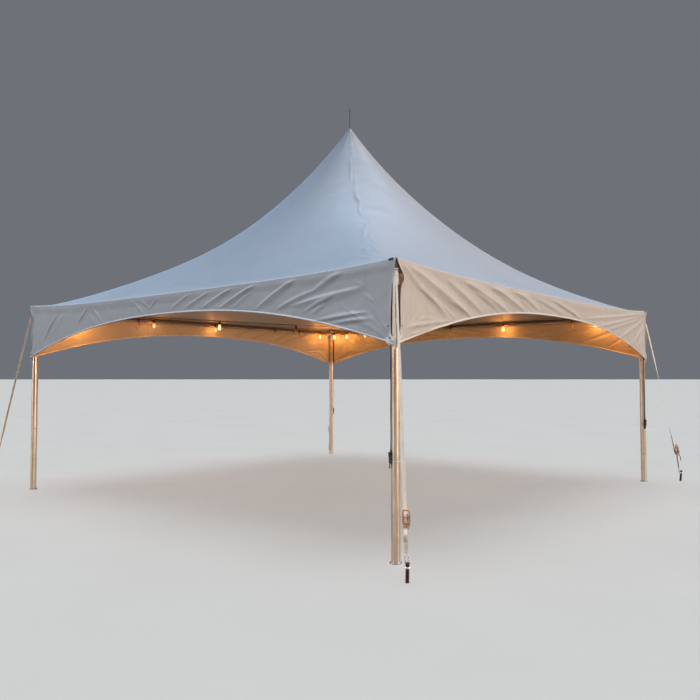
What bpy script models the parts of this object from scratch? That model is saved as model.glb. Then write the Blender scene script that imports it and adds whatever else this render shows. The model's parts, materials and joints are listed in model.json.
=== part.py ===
"""Marquee tent: a square vinyl top with a high peak, on an aluminium frame.

Metres, +Z up. The origin is on the ground under the mast, and the front is -Y.
Four legs carry a ring of eave beams. Cables from the corners meet under the middle
and hold up a short mast, which lifts the peak. Four guys hold the corners down.
"""

import math

import bmesh
import bpy
from mathutils import Matrix, Vector
from mathutils.bvhtree import BVHTree

# Frame
FRAME_SPAN = 6.0  # from leg axis to leg axis
BEAM_HEIGHT = 2.36  # axis of the eave beams above the ground
BEAM_RADIUS = 0.03175
LEG_RADIUS = 0.0381
TUBE_WALL = 0.0032
FOOT_LIP = 0.012  # how far a foot stands out round its leg
FOOT_THICKNESS = 0.010
FOOT_WELD = 0.006  # fillet between foot and leg

# Corner fittings
SOCKET_WALL = 0.0036  # round the leg's top
ARM_WALL = 0.0036  # round a beam's end
ARM_GRIP = 0.103  # length of beam inside an arm
BEAM_STOP = 0.020  # from the socket's side to the beam's end
SOCKET_DROP = 0.16  # from the beam's axis down to the socket's mouth
CAP_THICKNESS = 0.006
CAP_CHAMFER = 0.006
LUG_THICKNESS = 0.010
LUG_RADIUS = 0.016  # rounded end of a cable lug
LUG_RISE = 0.032  # cable pin above the beam's axis at a corner
LUG_NECK = 0.063  # from the socket's side in to the cable pin, along the diagonal
EYE_GAP = 0.005  # between the socket's side and the webbing round the guy pin
EYE_CHEEK = 0.003
EYE_RIM = 0.004  # metal round the guy pin
EYE_PIN_RADIUS = 0.004

# Splice between a side's two beams
SPLICE_WALL = 0.003
SPLICE_LENGTH = 0.30

# Mast and the cables that float it
MAST_RADIUS = 0.030
MAST_WALL = 0.003
MAST_PIN_DROP = 0.175  # cable pins at the hub below the beam's axis
HUB_WALL = 0.015
HUB_BELOW = 0.030  # hub's underside below its pins
HUB_ABOVE = 0.090
HUB_LUG_NECK = 0.027  # from the hub's side out to its pins
HUB_FLOOR = 0.010
CABLE_RADIUS = 0.004
PIN_RADIUS = 0.005
FORK_CHEEK = 0.005
FORK_EYE = 0.008  # metal round the pin
FORK_THROAT_GAP = 0.004  # between a lug's end and the bottom of the fork's slot
FORK_BRIDGE = 0.012
FERRULE_WALL = 0.005
FERRULE_LENGTH = 0.050

# Cap and spike at the peak
PEAK_HEIGHT = 5.0  # top of the vinyl
SPIKE_LENGTH = 0.30  # above the vinyl
SPIKE_RADIUS = 0.008
SPIKE_POINT = 0.012  # length of its point
SPIKE_TIP = 0.003  # radius of its blunt end
PEAK_HOLE_GAP = 0.004
MAST_CAP_WALL = 0.004
MAST_CAP_LIP = 0.011  # how far the cap stands out over its skirt
MAST_CAP_RIM = 0.004
MAST_CAP_DOME = 0.018  # rise of the dome over its outer half
MAST_CAP_CROWN = 0.007  # rise from there to the spike
MAST_CAP_SKIRT = 0.050

# Vinyl top
SHEET = 0.006  # thickness of the roof and of the valances
VALANCE_GAP = 0.002  # between the corner socket and the valance's inner face
EAVE_SLOPE = math.radians(12)  # fall of the roof outside the beams
CORNER_RISE = 0.060  # eave's corner above its middle
CORNER_RISE_POWER = 4  # how suddenly the eave rises along a side
HIP_RISE_POWER = 8  # how suddenly the rise fades up the hip
ROUND_SHARE = 1.10  # round reach of the roof's cone against half the frame's span
CONE_END = 0.20  # share of the slope that stays round
SKIRT_SHARE = 0.76  # share of the rise in the long slope, the rest is in the steep cone
SKIRT_POWER = 1.19
CONE_POWER = 3.7
HEM_BELOW_MIDDLE = 0.19  # valance's hem below the beam's axis, middle of a side
HEM_BELOW_CORNER = 0.605
HEM_POWER = 2.3
SLIT_MARGIN = 0.003  # between a valance's end and the guy's eye
ROOF_COLUMNS = 12  # on each side
ROOF_RINGS = 11
RING_CROWDING = 1.3  # over 1 brings the rings closer together at the peak

# Straps down the legs
STRAP_THICKNESS = 0.0025
LEG_STRAP_WIDTH = 0.025
LEG_TIE_ABOVE_HEM = 0.010  # tie's underside above the hem's corner
LEG_BUCKLE_HEIGHT = 0.84
LEG_BUCKLE_LENGTH = 0.110
LEG_BUCKLE_SIDE = 0.0095  # how far the buckle stands out beside its strap
LEG_BUCKLE_DEPTH = 0.030
LEG_BAND_DROP = 0.040  # from the buckle's middle to the underside of the band
LEG_STRAP_TURN = math.radians(-80)  # round the leg from its outer side, to the viewer's left

# Guys
GUY_WIDTH = 0.028
GUY_SIDE_GAP = 0.001  # between the webbing and the eye's cheeks
GUY_WRAP = math.radians(290)  # webbing's turn round its pin
GUY_REACH = 0.55  # stake's foot out from the leg's axis
STAKE_RADIUS = 0.014
STAKE_HEIGHT = 0.15
STAKE_LEAN = math.radians(6)
STAKE_HEAD = 0.004  # how far the head stands out
STAKE_HEAD_HEIGHT = 0.012
HOOK_DOWN = 0.035  # hook's ring below the stake's top
HOOK_ROD = 0.005
HOOK_LENGTH = 0.095
ROLL_WEBBING = 0.018  # webbing wound on the ratchet, out from its axis
RATCHET_CHEEK = 0.003
RATCHET_ABOVE = 0.035  # cheeks above the roll's axis
RATCHET_BAR_DOWN = 0.075  # tail's bar below the roll's axis
RATCHET_BAR_RIM = 0.010
RATCHET_RIM = 0.004  # cheeks beyond the roll
HANDLE_THICKNESS = 0.010
HANDLE_ABOVE = 0.0175  # handle beyond the cheeks
HANDLE_LENGTH = 0.11
TAIL_THICKNESS = 0.004
TAIL_LENGTH = 0.17

# String lights along the beams
WIRE_RADIUS = 0.004
BRANCH_WIRE_RADIUS = 0.0035
LAMP_RADIUS = 0.0225
LAMP_LENGTH = 0.082
LAMP_COLLAR = 0.014  # radius where the glass leaves its socket
LAMP_WIDEST = 0.58  # share of the lamp's length down to its widest place
LAMP_TIP = 0.015  # radius near the lamp's end
LAMP_TIP_RISE = 0.008
SOCKET_RADIUS = 0.015
SOCKET_LENGTH = 0.050
SOCKET_ABOVE_BEAM = 0.015
WIRE_BELOW_BEAM = 0.005
LAMPS = {  # places along each beam from its middle, as shares of half the span,
    # positive to the viewer's left when seen from outside the tent
    "back": (-0.85, -0.70, -0.07, 0.27, 0.66, 0.78, 0.92),
    "left": (-0.80, -0.48, -0.39, 0.01, 0.47, 0.68, 0.87),
    "front": (-0.80, -0.39, 0.01, 0.47, 0.80),
    "right": (-0.80, -0.48, 0.01, 0.47, 0.80),
}
BRANCH_LAMPS = (1.80, 0.75)  # along the front left cable, out from the mast

# Fits
FIT = 0.0003  # between pieces that touch
SEAT = 0.0005  # between the steep vinyl and the mast's cap

TUBE_SIDES = 18
SMALL_SIDES = 10
WIRE_SIDES = 8
WELD = 0.000002  # points closer than this are one
SHARP_ANGLE = math.radians(35)  # edges sharper than this aren't smoothed

# Sizes that follow from those above
FRAME_HALF = FRAME_SPAN / 2
FOOT_RADIUS = LEG_RADIUS + FOOT_LIP
SOCKET_OUTER = LEG_RADIUS + FIT + SOCKET_WALL
ARM_OUTER = BEAM_RADIUS + FIT + ARM_WALL
SPLICE_OUTER = BEAM_RADIUS + FIT + SPLICE_WALL
BEAM_START = SOCKET_OUTER + BEAM_STOP
ARM_LENGTH = BEAM_START + ARM_GRIP
WRAP_OUTER = EYE_PIN_RADIUS + FIT + STRAP_THICKNESS
EYE_REACH = SOCKET_OUTER + EYE_GAP + WRAP_OUTER
CHEEK_INNER = GUY_WIDTH / 2 + GUY_SIDE_GAP
EYE_OUTER = CHEEK_INNER + EYE_CHEEK
VALANCE_INNER = FRAME_HALF + SOCKET_OUTER + VALANCE_GAP
TOP_HALF = VALANCE_INNER + SHEET
VALANCE_END = VALANCE_INNER - math.sqrt(2) * (EYE_OUTER + SLIT_MARGIN)
PEAK_HOLE = SPIKE_RADIUS + PEAK_HOLE_GAP
SPIKE_TOP = PEAK_HEIGHT + SPIKE_LENGTH
MAST_BORE = MAST_RADIUS + FIT
MAST_CAP_OUTER = MAST_BORE + MAST_CAP_WALL + MAST_CAP_LIP
HUB_RADIUS = MAST_BORE + HUB_WALL
HUB_HEIGHT = BEAM_HEIGHT - MAST_PIN_DROP
HUB_LUG_REACH = HUB_RADIUS + HUB_LUG_NECK
LUG_HEIGHT = BEAM_HEIGHT + LUG_RISE
LUG_REACH = SOCKET_OUTER + LUG_NECK
LUG_FROM_MIDDLE = FRAME_HALF * math.sqrt(2) - LUG_REACH
HOOK_RING = STAKE_RADIUS + FIT + HOOK_ROD
HOOK_HEIGHT = STAKE_HEIGHT - HOOK_DOWN
RATCHET_UP = RATCHET_BAR_DOWN + TAIL_LENGTH + HOOK_LENGTH
WIRE_IN = max(ARM_OUTER, SPLICE_OUTER) + FIT + WIRE_RADIUS
WIRE_HALF = FRAME_HALF - WIRE_IN
LAMP_IN = WIRE_IN + SOCKET_RADIUS
BRANCH_BELOW = CABLE_RADIUS + FIT + BRANCH_WIRE_RADIUS

QUARTERS = range(4)
CORNER_NAMES = ("back_right", "back_left", "front_left", "front_right")
SIDE_NAMES = ("back", "left", "front", "right")


def clear_scene():
    for thing in list(bpy.data.objects):
        bpy.data.objects.remove(thing, do_unlink=True)


def make_material(name, colour, roughness, metallic):
    material = bpy.data.materials.new(name)
    material.use_nodes = True
    shader = material.node_tree.nodes["Principled BSDF"]
    shader.inputs["Base Color"].default_value = (*colour, 1.0)
    shader.inputs["Roughness"].default_value = roughness
    shader.inputs["Metallic"].default_value = metallic
    return material


def mesh_from(name, points, faces):
    """One closed mesh from points and faces, with its faces turned out."""
    shape = bmesh.new()
    corners = [shape.verts.new(point) for point in points]
    for face in faces:
        shape.faces.new([corners[index] for index in face])
    bmesh.ops.recalc_face_normals(shape, faces=shape.faces)
    mesh = bpy.data.meshes.new(name)
    shape.to_mesh(mesh)
    shape.free()
    return mesh


def place(name, mesh, material, turn=0.0):
    mesh.materials.clear()
    mesh.materials.append(material)
    mesh.shade_smooth()
    mesh.set_sharp_from_angle(angle=SHARP_ANGLE)
    piece = bpy.data.objects.new(name, mesh)
    piece.rotation_euler.z = turn
    bpy.context.scene.collection.objects.link(piece)
    return piece


def turned(profile, sides, phase=0.0):
    """Mesh of a closed (radius, height) outline turned about Z."""
    points = []
    rings = []
    for radius, height in profile:
        if radius == 0:
            rings.append([len(points)])
            points.append((0.0, 0.0, height))
            continue
        rings.append([len(points) + step for step in range(sides)])
        for step in range(sides):
            angle = phase + math.tau * step / sides
            points.append((radius * math.cos(angle), radius * math.sin(angle), height))
    faces = []
    for low, high in zip(rings, rings[1:] + rings[:1]):
        if len(low) == 1 and len(high) == 1:
            continue
        for step in range(sides):
            after = (step + 1) % sides
            if len(low) == 1:
                faces.append((low[0], high[after], high[step]))
            elif len(high) == 1:
                faces.append((low[step], low[after], high[0]))
            else:
                faces.append((low[step], low[after], high[after], high[step]))
    return mesh_from("turned", points, faces)


def rod(radius, length, sides=SMALL_SIDES):
    """Solid round bar from the origin along +Z."""
    return turned([(0, 0), (radius, 0), (radius, length), (0, length)], sides)


def pipe(outer, inner, low, high, sides=TUBE_SIDES):
    return turned([(inner, low), (outer, low), (outer, high), (inner, high)], sides)


def block(low, high):
    """Box between two corners."""
    spans = list(zip(low, high))
    points = [(x, y, z) for z in spans[2] for y in spans[1] for x in spans[0]]
    faces = [(0, 2, 3, 1), (4, 5, 7, 6), (0, 1, 5, 4), (2, 6, 7, 3), (0, 4, 6, 2), (1, 3, 7, 5)]
    return mesh_from("block", points, faces)


def extruded(outline, half_width):
    """Slab with an (x, z) outline, spread along Y."""
    count = len(outline)
    points = [(x, side * half_width, z) for side in (-1, 1) for x, z in outline]
    faces = [tuple(range(count)), tuple(range(count, 2 * count))]
    for index in range(count):
        after = (index + 1) % count
        faces.append((index, after, after + count, index + count))
    return mesh_from("slab", points, faces)


def moved(mesh, matrix):
    mesh.transform(matrix)
    return mesh


def along_x(mesh):
    """Turn a mesh made along +Z to lie along +X."""
    return moved(mesh, Matrix.Rotation(math.pi / 2, 4, "Y"))


def along_y(mesh):
    """Turn a mesh made along +Z to lie along +Y."""
    return moved(mesh, Matrix.Rotation(-math.pi / 2, 4, "X"))


def shift(mesh, x=0.0, y=0.0, z=0.0):
    return moved(mesh, Matrix.Translation((x, y, z)))


def cross_bar(radius, half_length, x, z):
    """Round bar along Y, as long on each side of the X and Z plane."""
    return shift(along_y(rod(radius, 2 * half_length)), x=x, y=-half_length, z=z)


def gathered(meshes):
    """One mesh that holds several separate ones."""
    shape = bmesh.new()
    for mesh in meshes:
        shape.from_mesh(mesh)
    result = bpy.data.meshes.new("gathered")
    shape.to_mesh(result)
    shape.free()
    return result


def combine(mesh, others, operation):
    """Exact union or difference of a mesh with others, one after another."""
    body = bpy.data.objects.new("body", mesh)
    bpy.context.scene.collection.objects.link(body)
    helpers = []
    for other in others:
        helper = bpy.data.objects.new("helper", other)
        helper.hide_render = True
        helper.display_type = "WIRE"
        bpy.context.scene.collection.objects.link(helper)
        helpers.append(helper)
        step = body.modifiers.new("combine", "BOOLEAN")
        step.operation = operation
        step.solver = "EXACT"
        step.object = helper
    view = bpy.context.evaluated_depsgraph_get()
    result = bpy.data.meshes.new_from_object(body.evaluated_get(view))
    for piece in [body] + helpers:
        bpy.data.objects.remove(piece, do_unlink=True)
    shape = bmesh.new()
    shape.from_mesh(result)
    bmesh.ops.remove_doubles(shape, verts=shape.verts, dist=WELD)
    shape.to_mesh(result)
    shape.free()
    return result


def united(mesh, *others):
    return combine(mesh, others, "UNION")


def cut(mesh, *others):
    return combine(mesh, others, "DIFFERENCE")


# The vinyl roof


def eave_rise(across):
    return CORNER_RISE * abs(across) ** CORNER_RISE_POWER


def bearing_height():
    """Underside of the roof over the beam's axis, clear of the arms and the splice below."""
    return BEAM_HEIGHT + (max(ARM_OUTER, SPLICE_OUTER) + FIT) / math.cos(EAVE_SLOPE)


def roof_under(slope_place, across):
    """Point on the roof's underside, from the peak (0) to the beams (1).

    across runs from -1 to 1 along the back side.
    """
    square = Vector((across, 1.0))
    direction = square.normalized()
    blend = min(max((slope_place - CONE_END) / (1 - CONE_END), 0.0), 1.0)
    blend = blend * blend * (3 - 2 * blend)
    reach = direction.lerp(square / ROUND_SHARE, blend) * ROUND_SHARE * FRAME_HALF
    point = direction * PEAK_HOLE * (1 - slope_place) + reach * slope_place
    left = 1 - slope_place
    share = SKIRT_SHARE * left**SKIRT_POWER + (1 - SKIRT_SHARE) * left**CONE_POWER
    eave = bearing_height()
    height = eave + (PEAK_HEIGHT - SHEET - eave) * share
    height += eave_rise(across) * slope_place**HIP_RISE_POWER
    return Vector((point.x, point.y, height))


def rim_under(across):
    """Point on the underside of the roof's outer edge."""
    fall = (TOP_HALF - FRAME_HALF) * math.tan(EAVE_SLOPE)
    height = bearing_height() - fall + eave_rise(across)
    return Vector((across * TOP_HALF, TOP_HALF, height))


def column_places():
    return [-1 + 2 * column / ROOF_COLUMNS for column in range(ROOF_COLUMNS + 1)]


def roof_mesh():
    places = [(ring / ROOF_RINGS) ** RING_CROWDING for ring in range(ROOF_RINGS + 1)]
    under = []
    over = []
    for index, slope_place in enumerate(places + [None]):
        for quarter in QUARTERS:
            turn = Matrix.Rotation(quarter * math.pi / 2, 3, "Z")
            for across in column_places()[:0:-1]:
                if slope_place is None:
                    point = rim_under(across)
                    inner = roof_under(1.0, across)
                else:
                    point = roof_under(slope_place, across)
                    inner = roof_under(places[max(index - 1, 0)], across)
                    if index == 0:
                        inner = roof_under(places[1], across)
                run = point - inner
                thick = SHEET * run.length / run.xy.length
                under.append(turn @ point)
                over.append(turn @ (point + Vector((0, 0, thick))))
    count = 4 * ROOF_COLUMNS
    rings = len(places) + 1
    base = len(under)
    faces = []
    for ring in range(rings - 1):
        for step in range(count):
            after = (step + 1) % count
            corners = [ring * count + step, ring * count + after]
            corners += [(ring + 1) * count + after, (ring + 1) * count + step]
            faces.append(tuple(corners))
            faces.append(tuple(base + corner for corner in reversed(corners)))
    for edge in (0, (rings - 1) * count):
        for step in range(count):
            after = (step + 1) % count
            faces.append((edge + step, edge + after, base + edge + after, base + edge + step))
    return mesh_from("canopy_roof", under + over, faces)


def search_tree(mesh):
    points = [vertex.co for vertex in mesh.vertices]
    faces = [polygon.vertices for polygon in mesh.polygons]
    return BVHTree.FromPolygons(points, faces)


def lowest_over_circle(roof_tree, centre, radius):
    """Lowest point of the roof's underside above a circle on the plan."""
    steps = 48
    heights = []
    for step in range(steps):
        angle = math.tau * step / steps
        start = Vector((centre[0], centre[1], 0))
        start += radius * Vector((math.cos(angle), math.sin(angle), 0))
        hit = roof_tree.ray_cast(start, Vector((0, 0, 1)))[0]
        heights.append(hit.z)
    return min(heights)


# The valances


def hem_height(across):
    depth = HEM_BELOW_MIDDLE + (HEM_BELOW_CORNER - HEM_BELOW_MIDDLE) * abs(across) ** HEM_POWER
    return BEAM_HEIGHT - depth


def valance_mesh():
    """Back valance: a flat arched sheet whose top follows the roof's edge."""
    end = VALANCE_END / TOP_HALF
    places = column_places()
    inset = (end - places[-2]) / (1 - places[-2])
    end_top = rim_under(places[-2]).z * (1 - inset) + rim_under(1.0).z * inset
    points = []
    for across in [-end] + places[1:-1] + [end]:
        top = (end_top if abs(across) == end else rim_under(across).z) - FIT
        for depth in (VALANCE_INNER, TOP_HALF):
            points.append((across * TOP_HALF, depth, hem_height(across)))
            points.append((across * TOP_HALF, depth, top))
    last = 4 * (len(places) - 1)
    faces = [(0, 1, 3, 2), (last, last + 1, last + 3, last + 2)]
    for column in range(len(places) - 1):
        here = 4 * column
        there = here + 4
        for first, second in ((0, 1), (1, 3), (3, 2), (2, 0)):
            faces.append((here + first, here + second, there + second, there + first))
    return mesh_from("valance", points, faces)


# The frame


def leg_mesh(cap_height):
    """Tube with its round foot welded on, standing on the ground."""
    inner = LEG_RADIUS - TUBE_WALL
    top = cap_height - CAP_THICKNESS - FIT
    outline = [
        (0, 0),
        (FOOT_RADIUS, 0),
        (FOOT_RADIUS, FOOT_THICKNESS),
        (LEG_RADIUS + FOOT_WELD, FOOT_THICKNESS),
        (LEG_RADIUS, FOOT_THICKNESS + FOOT_WELD),
        (LEG_RADIUS, top),
        (inner, top),
        (inner, FOOT_THICKNESS),
        (0, FOOT_THICKNESS),
    ]
    return turned(outline, TUBE_SIDES)


def lug_outline(reach, root):
    """Outline of a lug from its root to its rounded end round the pin."""
    outline = [(root, -LUG_RADIUS), (reach, -LUG_RADIUS)]
    for step in range(1, 6):
        angle = math.pi * (step / 6 - 0.5)
        outline.append((reach + LUG_RADIUS * math.cos(angle), LUG_RADIUS * math.sin(angle)))
    return outline + [(reach, LUG_RADIUS), (root, LUG_RADIUS)]


def pin_hole(reach):
    width = 2 * LUG_THICKNESS
    return shift(along_y(rod(PIN_RADIUS + FIT, width)), x=reach, y=-width / 2)


def corner_fitting_mesh(cap_height):
    """Socket over the leg, two arms over the beams, a cable lug and a guy eye.

    The leg's axis is Z here, and the diagonal that points out of the tent is +X.
    """
    socket_low = BEAM_HEIGHT - SOCKET_DROP
    shell = turned(
        [
            (0, socket_low),
            (SOCKET_OUTER, socket_low),
            (SOCKET_OUTER, cap_height - CAP_CHAMFER),
            (SOCKET_OUTER - CAP_CHAMFER, cap_height),
            (0, cap_height),
        ],
        TUBE_SIDES,
    )
    below = CAP_THICKNESS
    bore = shift(rod(LEG_RADIUS + FIT, cap_height - socket_low, TUBE_SIDES), z=socket_low - below)
    mouth = BEAM_RADIUS + FIT
    mouth_start = BEAM_START - FIT
    arm_outline = [(0, 0), (ARM_OUTER, 0), (ARM_OUTER, ARM_LENGTH)]
    arm_outline += [(mouth, ARM_LENGTH), (mouth, mouth_start), (0, mouth_start)]
    arms = []
    for side in (-1, 1):
        inward = Matrix.Rotation(side * 3 * math.pi / 4, 4, "Z")
        raised = Matrix.Translation((0, 0, BEAM_HEIGHT))
        arms.append(moved(along_x(turned(arm_outline, TUBE_SIDES)), raised @ inward))
    lug = shift(extruded(lug_outline(LUG_REACH, LEG_RADIUS + FIT), LUG_THICKNESS / 2), z=LUG_HEIGHT)
    hole = shift(pin_hole(LUG_REACH), z=LUG_HEIGHT)
    for mesh in (lug, hole):
        moved(mesh, Matrix.Rotation(math.pi, 4, "Z"))
    eye = []
    rim = EYE_PIN_RADIUS + EYE_RIM
    for side in (-1, 1):
        faces = sorted((side * CHEEK_INNER, side * EYE_OUTER))
        low = (LEG_RADIUS / 2, faces[0], BEAM_HEIGHT - rim)
        high = (EYE_REACH + rim, faces[1], BEAM_HEIGHT + rim)
        eye.append(block(low, high))
    pin = cross_bar(EYE_PIN_RADIUS, CHEEK_INNER + EYE_CHEEK / 2, EYE_REACH, BEAM_HEIGHT)
    solid = united(shell, *arms, lug, *eye, pin)
    return cut(solid, bore, hole)


def beam_mesh(spliced):
    """Half of the back eave beam, from its corner fitting to the middle.

    The spliced half carries the sleeve that the plain half slides into.
    """
    start = FRAME_HALF - BEAM_START
    inner = BEAM_RADIUS - TUBE_WALL
    if spliced:
        half = SPLICE_LENGTH / 2
        outline = [
            (inner, FIT / 2),
            (BEAM_RADIUS, FIT / 2),
            (BEAM_RADIUS + FIT, FIT / 2),
            (BEAM_RADIUS + FIT, -half),
            (SPLICE_OUTER, -half),
            (SPLICE_OUTER, half),
            (BEAM_RADIUS, half),
            (BEAM_RADIUS, start),
            (inner, start),
        ]
        mesh = along_x(turned(outline, TUBE_SIDES))
    else:
        mesh = along_x(pipe(BEAM_RADIUS, inner, FIT / 2, start))
        moved(mesh, Matrix.Rotation(math.pi, 4, "Z"))
    return shift(mesh, y=FRAME_HALF, z=BEAM_HEIGHT)


def hub_mesh():
    """Hub under the mast, with a lug for each cable on the diagonals."""
    low = HUB_HEIGHT - HUB_BELOW
    high = HUB_HEIGHT + HUB_ABOVE
    floor = low + HUB_FLOOR
    outline = [(0, low), (HUB_RADIUS, low), (HUB_RADIUS, high)]
    outline += [(MAST_BORE, high), (MAST_BORE, floor), (0, floor)]
    root = (MAST_BORE + HUB_RADIUS) / 2
    lugs = []
    holes = []
    for quarter in QUARTERS:
        turn = Matrix.Rotation(math.pi / 4 + quarter * math.pi / 2, 4, "Z")
        lug = extruded(lug_outline(HUB_LUG_REACH, root), LUG_THICKNESS / 2)
        lugs.append(moved(shift(lug, z=HUB_HEIGHT), turn))
        holes.append(moved(shift(pin_hole(HUB_LUG_REACH), z=HUB_HEIGHT), turn))
    return cut(united(turned(outline, TUBE_SIDES), *lugs), *holes)


def mast_cap_mesh(roof_tree):
    """Domed cap on the mast that carries the peak, with the spike on top."""
    rim = lowest_over_circle(roof_tree, (0, 0), MAST_CAP_OUTER) - SEAT
    base = rim - MAST_CAP_RIM
    skirt = MAST_BORE + MAST_CAP_WALL
    crown = rim + MAST_CAP_DOME + MAST_CAP_CROWN
    outline = [
        (0, base - MAST_CAP_WALL),
        (MAST_BORE, base - MAST_CAP_WALL),
        (MAST_BORE, base - MAST_CAP_SKIRT),
        (skirt, base - MAST_CAP_SKIRT),
        (skirt, base - MAST_CAP_LIP),
        (MAST_CAP_OUTER, base),
        (MAST_CAP_OUTER, rim),
        ((MAST_CAP_OUTER + SPIKE_RADIUS) / 2, rim + MAST_CAP_DOME),
        (SPIKE_RADIUS, crown),
        (SPIKE_RADIUS, SPIKE_TOP - SPIKE_POINT),
        (SPIKE_TIP, SPIKE_TOP),
        (0, SPIKE_TOP),
    ]
    return turned(outline, TUBE_SIDES), base - MAST_CAP_WALL - FIT


def mast_mesh(top):
    low = HUB_HEIGHT - HUB_BELOW + HUB_FLOOR + FIT
    return pipe(MAST_RADIUS, MAST_RADIUS - MAST_WALL, low, top)


def cable_mesh():
    """Cable of the back right corner, with a forked end and pin at each lug."""
    start = Vector((HUB_LUG_REACH, 0, HUB_HEIGHT))
    end = Vector((LUG_FROM_MIDDLE, 0, LUG_HEIGHT))
    length = (end - start).length
    climb = math.atan2(end.z - start.z, end.x - start.x)
    slot = LUG_THICKNESS / 2 + FIT
    outside = slot + FORK_CHEEK
    half = PIN_RADIUS + FORK_EYE
    throat = LUG_RADIUS + FORK_THROAT_GAP
    far = throat + FORK_BRIDGE
    jaw = block((-half, -outside, -half), (far, outside, half))
    slit = block((-2 * half, -slot, -2 * half), (throat, slot, 2 * half))
    pin = cross_bar(PIN_RADIUS, outside - FORK_CHEEK / 2, 0, 0)
    ferrule_start = throat + FORK_BRIDGE / 2
    ferrule = shift(along_x(rod(CABLE_RADIUS + FERRULE_WALL, FERRULE_LENGTH)), x=ferrule_start)
    fork = united(cut(jaw, slit), pin, ferrule)
    other = moved(fork.copy(), Matrix.Translation((length, 0, 0)) @ Matrix.Rotation(math.pi, 4, "Z"))
    line_start = ferrule_start + FERRULE_LENGTH / 2
    line = shift(along_x(rod(CABLE_RADIUS, length - 2 * line_start, WIRE_SIDES)), x=line_start)
    whole = united(line, fork, other)
    lean = Matrix.Rotation(-climb, 4, "Y")
    return moved(whole, Matrix.Rotation(math.pi / 4, 4, "Z") @ Matrix.Translation(start) @ lean)


# Straps and guys


def leg_strap_mesh():
    """Strap down the side of a leg, tied round it above and below."""
    inner = LEG_RADIUS + FIT
    outer = inner + STRAP_THICKNESS
    tie_low = BEAM_HEIGHT - HEM_BELOW_CORNER + LEG_TIE_ABOVE_HEM
    band_low = LEG_BUCKLE_HEIGHT - LEG_BAND_DROP
    tie = pipe(outer, inner, tie_low, tie_low + LEG_STRAP_WIDTH)
    band = pipe(outer, inner, band_low, band_low + LEG_STRAP_WIDTH)
    half = LEG_STRAP_WIDTH / 2
    strip = block((inner, -half, band_low + half), (outer + STRAP_THICKNESS / 2, half, tie_low + half))
    buckle_half = half + LEG_BUCKLE_SIDE
    buckle_low = LEG_BUCKLE_HEIGHT - LEG_BUCKLE_LENGTH / 2
    buckle = block(
        (inner + STRAP_THICKNESS / 2, -buckle_half, buckle_low),
        (inner + LEG_BUCKLE_DEPTH, buckle_half, buckle_low + LEG_BUCKLE_LENGTH),
    )
    for mesh in (strip, buckle):
        moved(mesh, Matrix.Rotation(LEG_STRAP_TURN, 4, "Z"))
    return united(tie, band, strip, buckle)


def ring_centre():
    return Vector((GUY_REACH + HOOK_HEIGHT * math.tan(STAKE_LEAN), 0, HOOK_HEIGHT))


def guy_axes():
    """Ends of a guy on the diagonal plane: its pin, and the near side of its hook ring."""
    pin = Vector((EYE_REACH, 0, BEAM_HEIGHT))
    near_side = Matrix.Rotation(STAKE_LEAN, 3, "Y") @ Vector((-HOOK_RING, 0, 0))
    return pin, ring_centre() + near_side


def guy_matrix():
    """From guy axes (X down along the guy, Z outward) to the leg's axes."""
    pin, hook = guy_axes()
    down = (hook - pin).normalized()
    across = Vector((0, -1, 0))
    outward = down.cross(across)
    axes = Matrix((down, across, outward)).transposed().to_4x4()
    return Matrix.Translation(pin) @ axes


def guy_length():
    pin, hook = guy_axes()
    return (hook - pin).length


def guy_strap_mesh():
    """Webbing turned round the corner's pin and run down to the ratchet's roll."""
    steps = 14
    wrap_inner = WRAP_OUTER - STRAP_THICKNESS
    outside = []
    inside = []
    for step in range(steps + 1):
        angle = math.pi / 2 + GUY_WRAP * (1 - step / steps)
        outside.append((WRAP_OUTER * math.cos(angle), WRAP_OUTER * math.sin(angle)))
        inside.append((wrap_inner * math.cos(angle), wrap_inner * math.sin(angle)))
    reach = guy_length() - RATCHET_UP
    outside.append((reach, WRAP_OUTER))
    inside.append((reach, wrap_inner))
    return extruded(outside + inside[::-1], GUY_WIDTH / 2)


def ring_round(major, minor, sides=16, around=8):
    points = []
    faces = []
    for step in range(sides):
        angle = math.tau * step / sides
        for turn in range(around):
            bend = math.tau * turn / around
            reach = major + minor * math.cos(bend)
            points.append((reach * math.cos(angle), reach * math.sin(angle), minor * math.sin(bend)))
            here = step * around + turn
            beside = step * around + (turn + 1) % around
            ahead = (here + around) % (sides * around)
            across = (beside + around) % (sides * around)
            faces.append((here, beside, across, ahead))
    return mesh_from("ring", points, faces)


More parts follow.
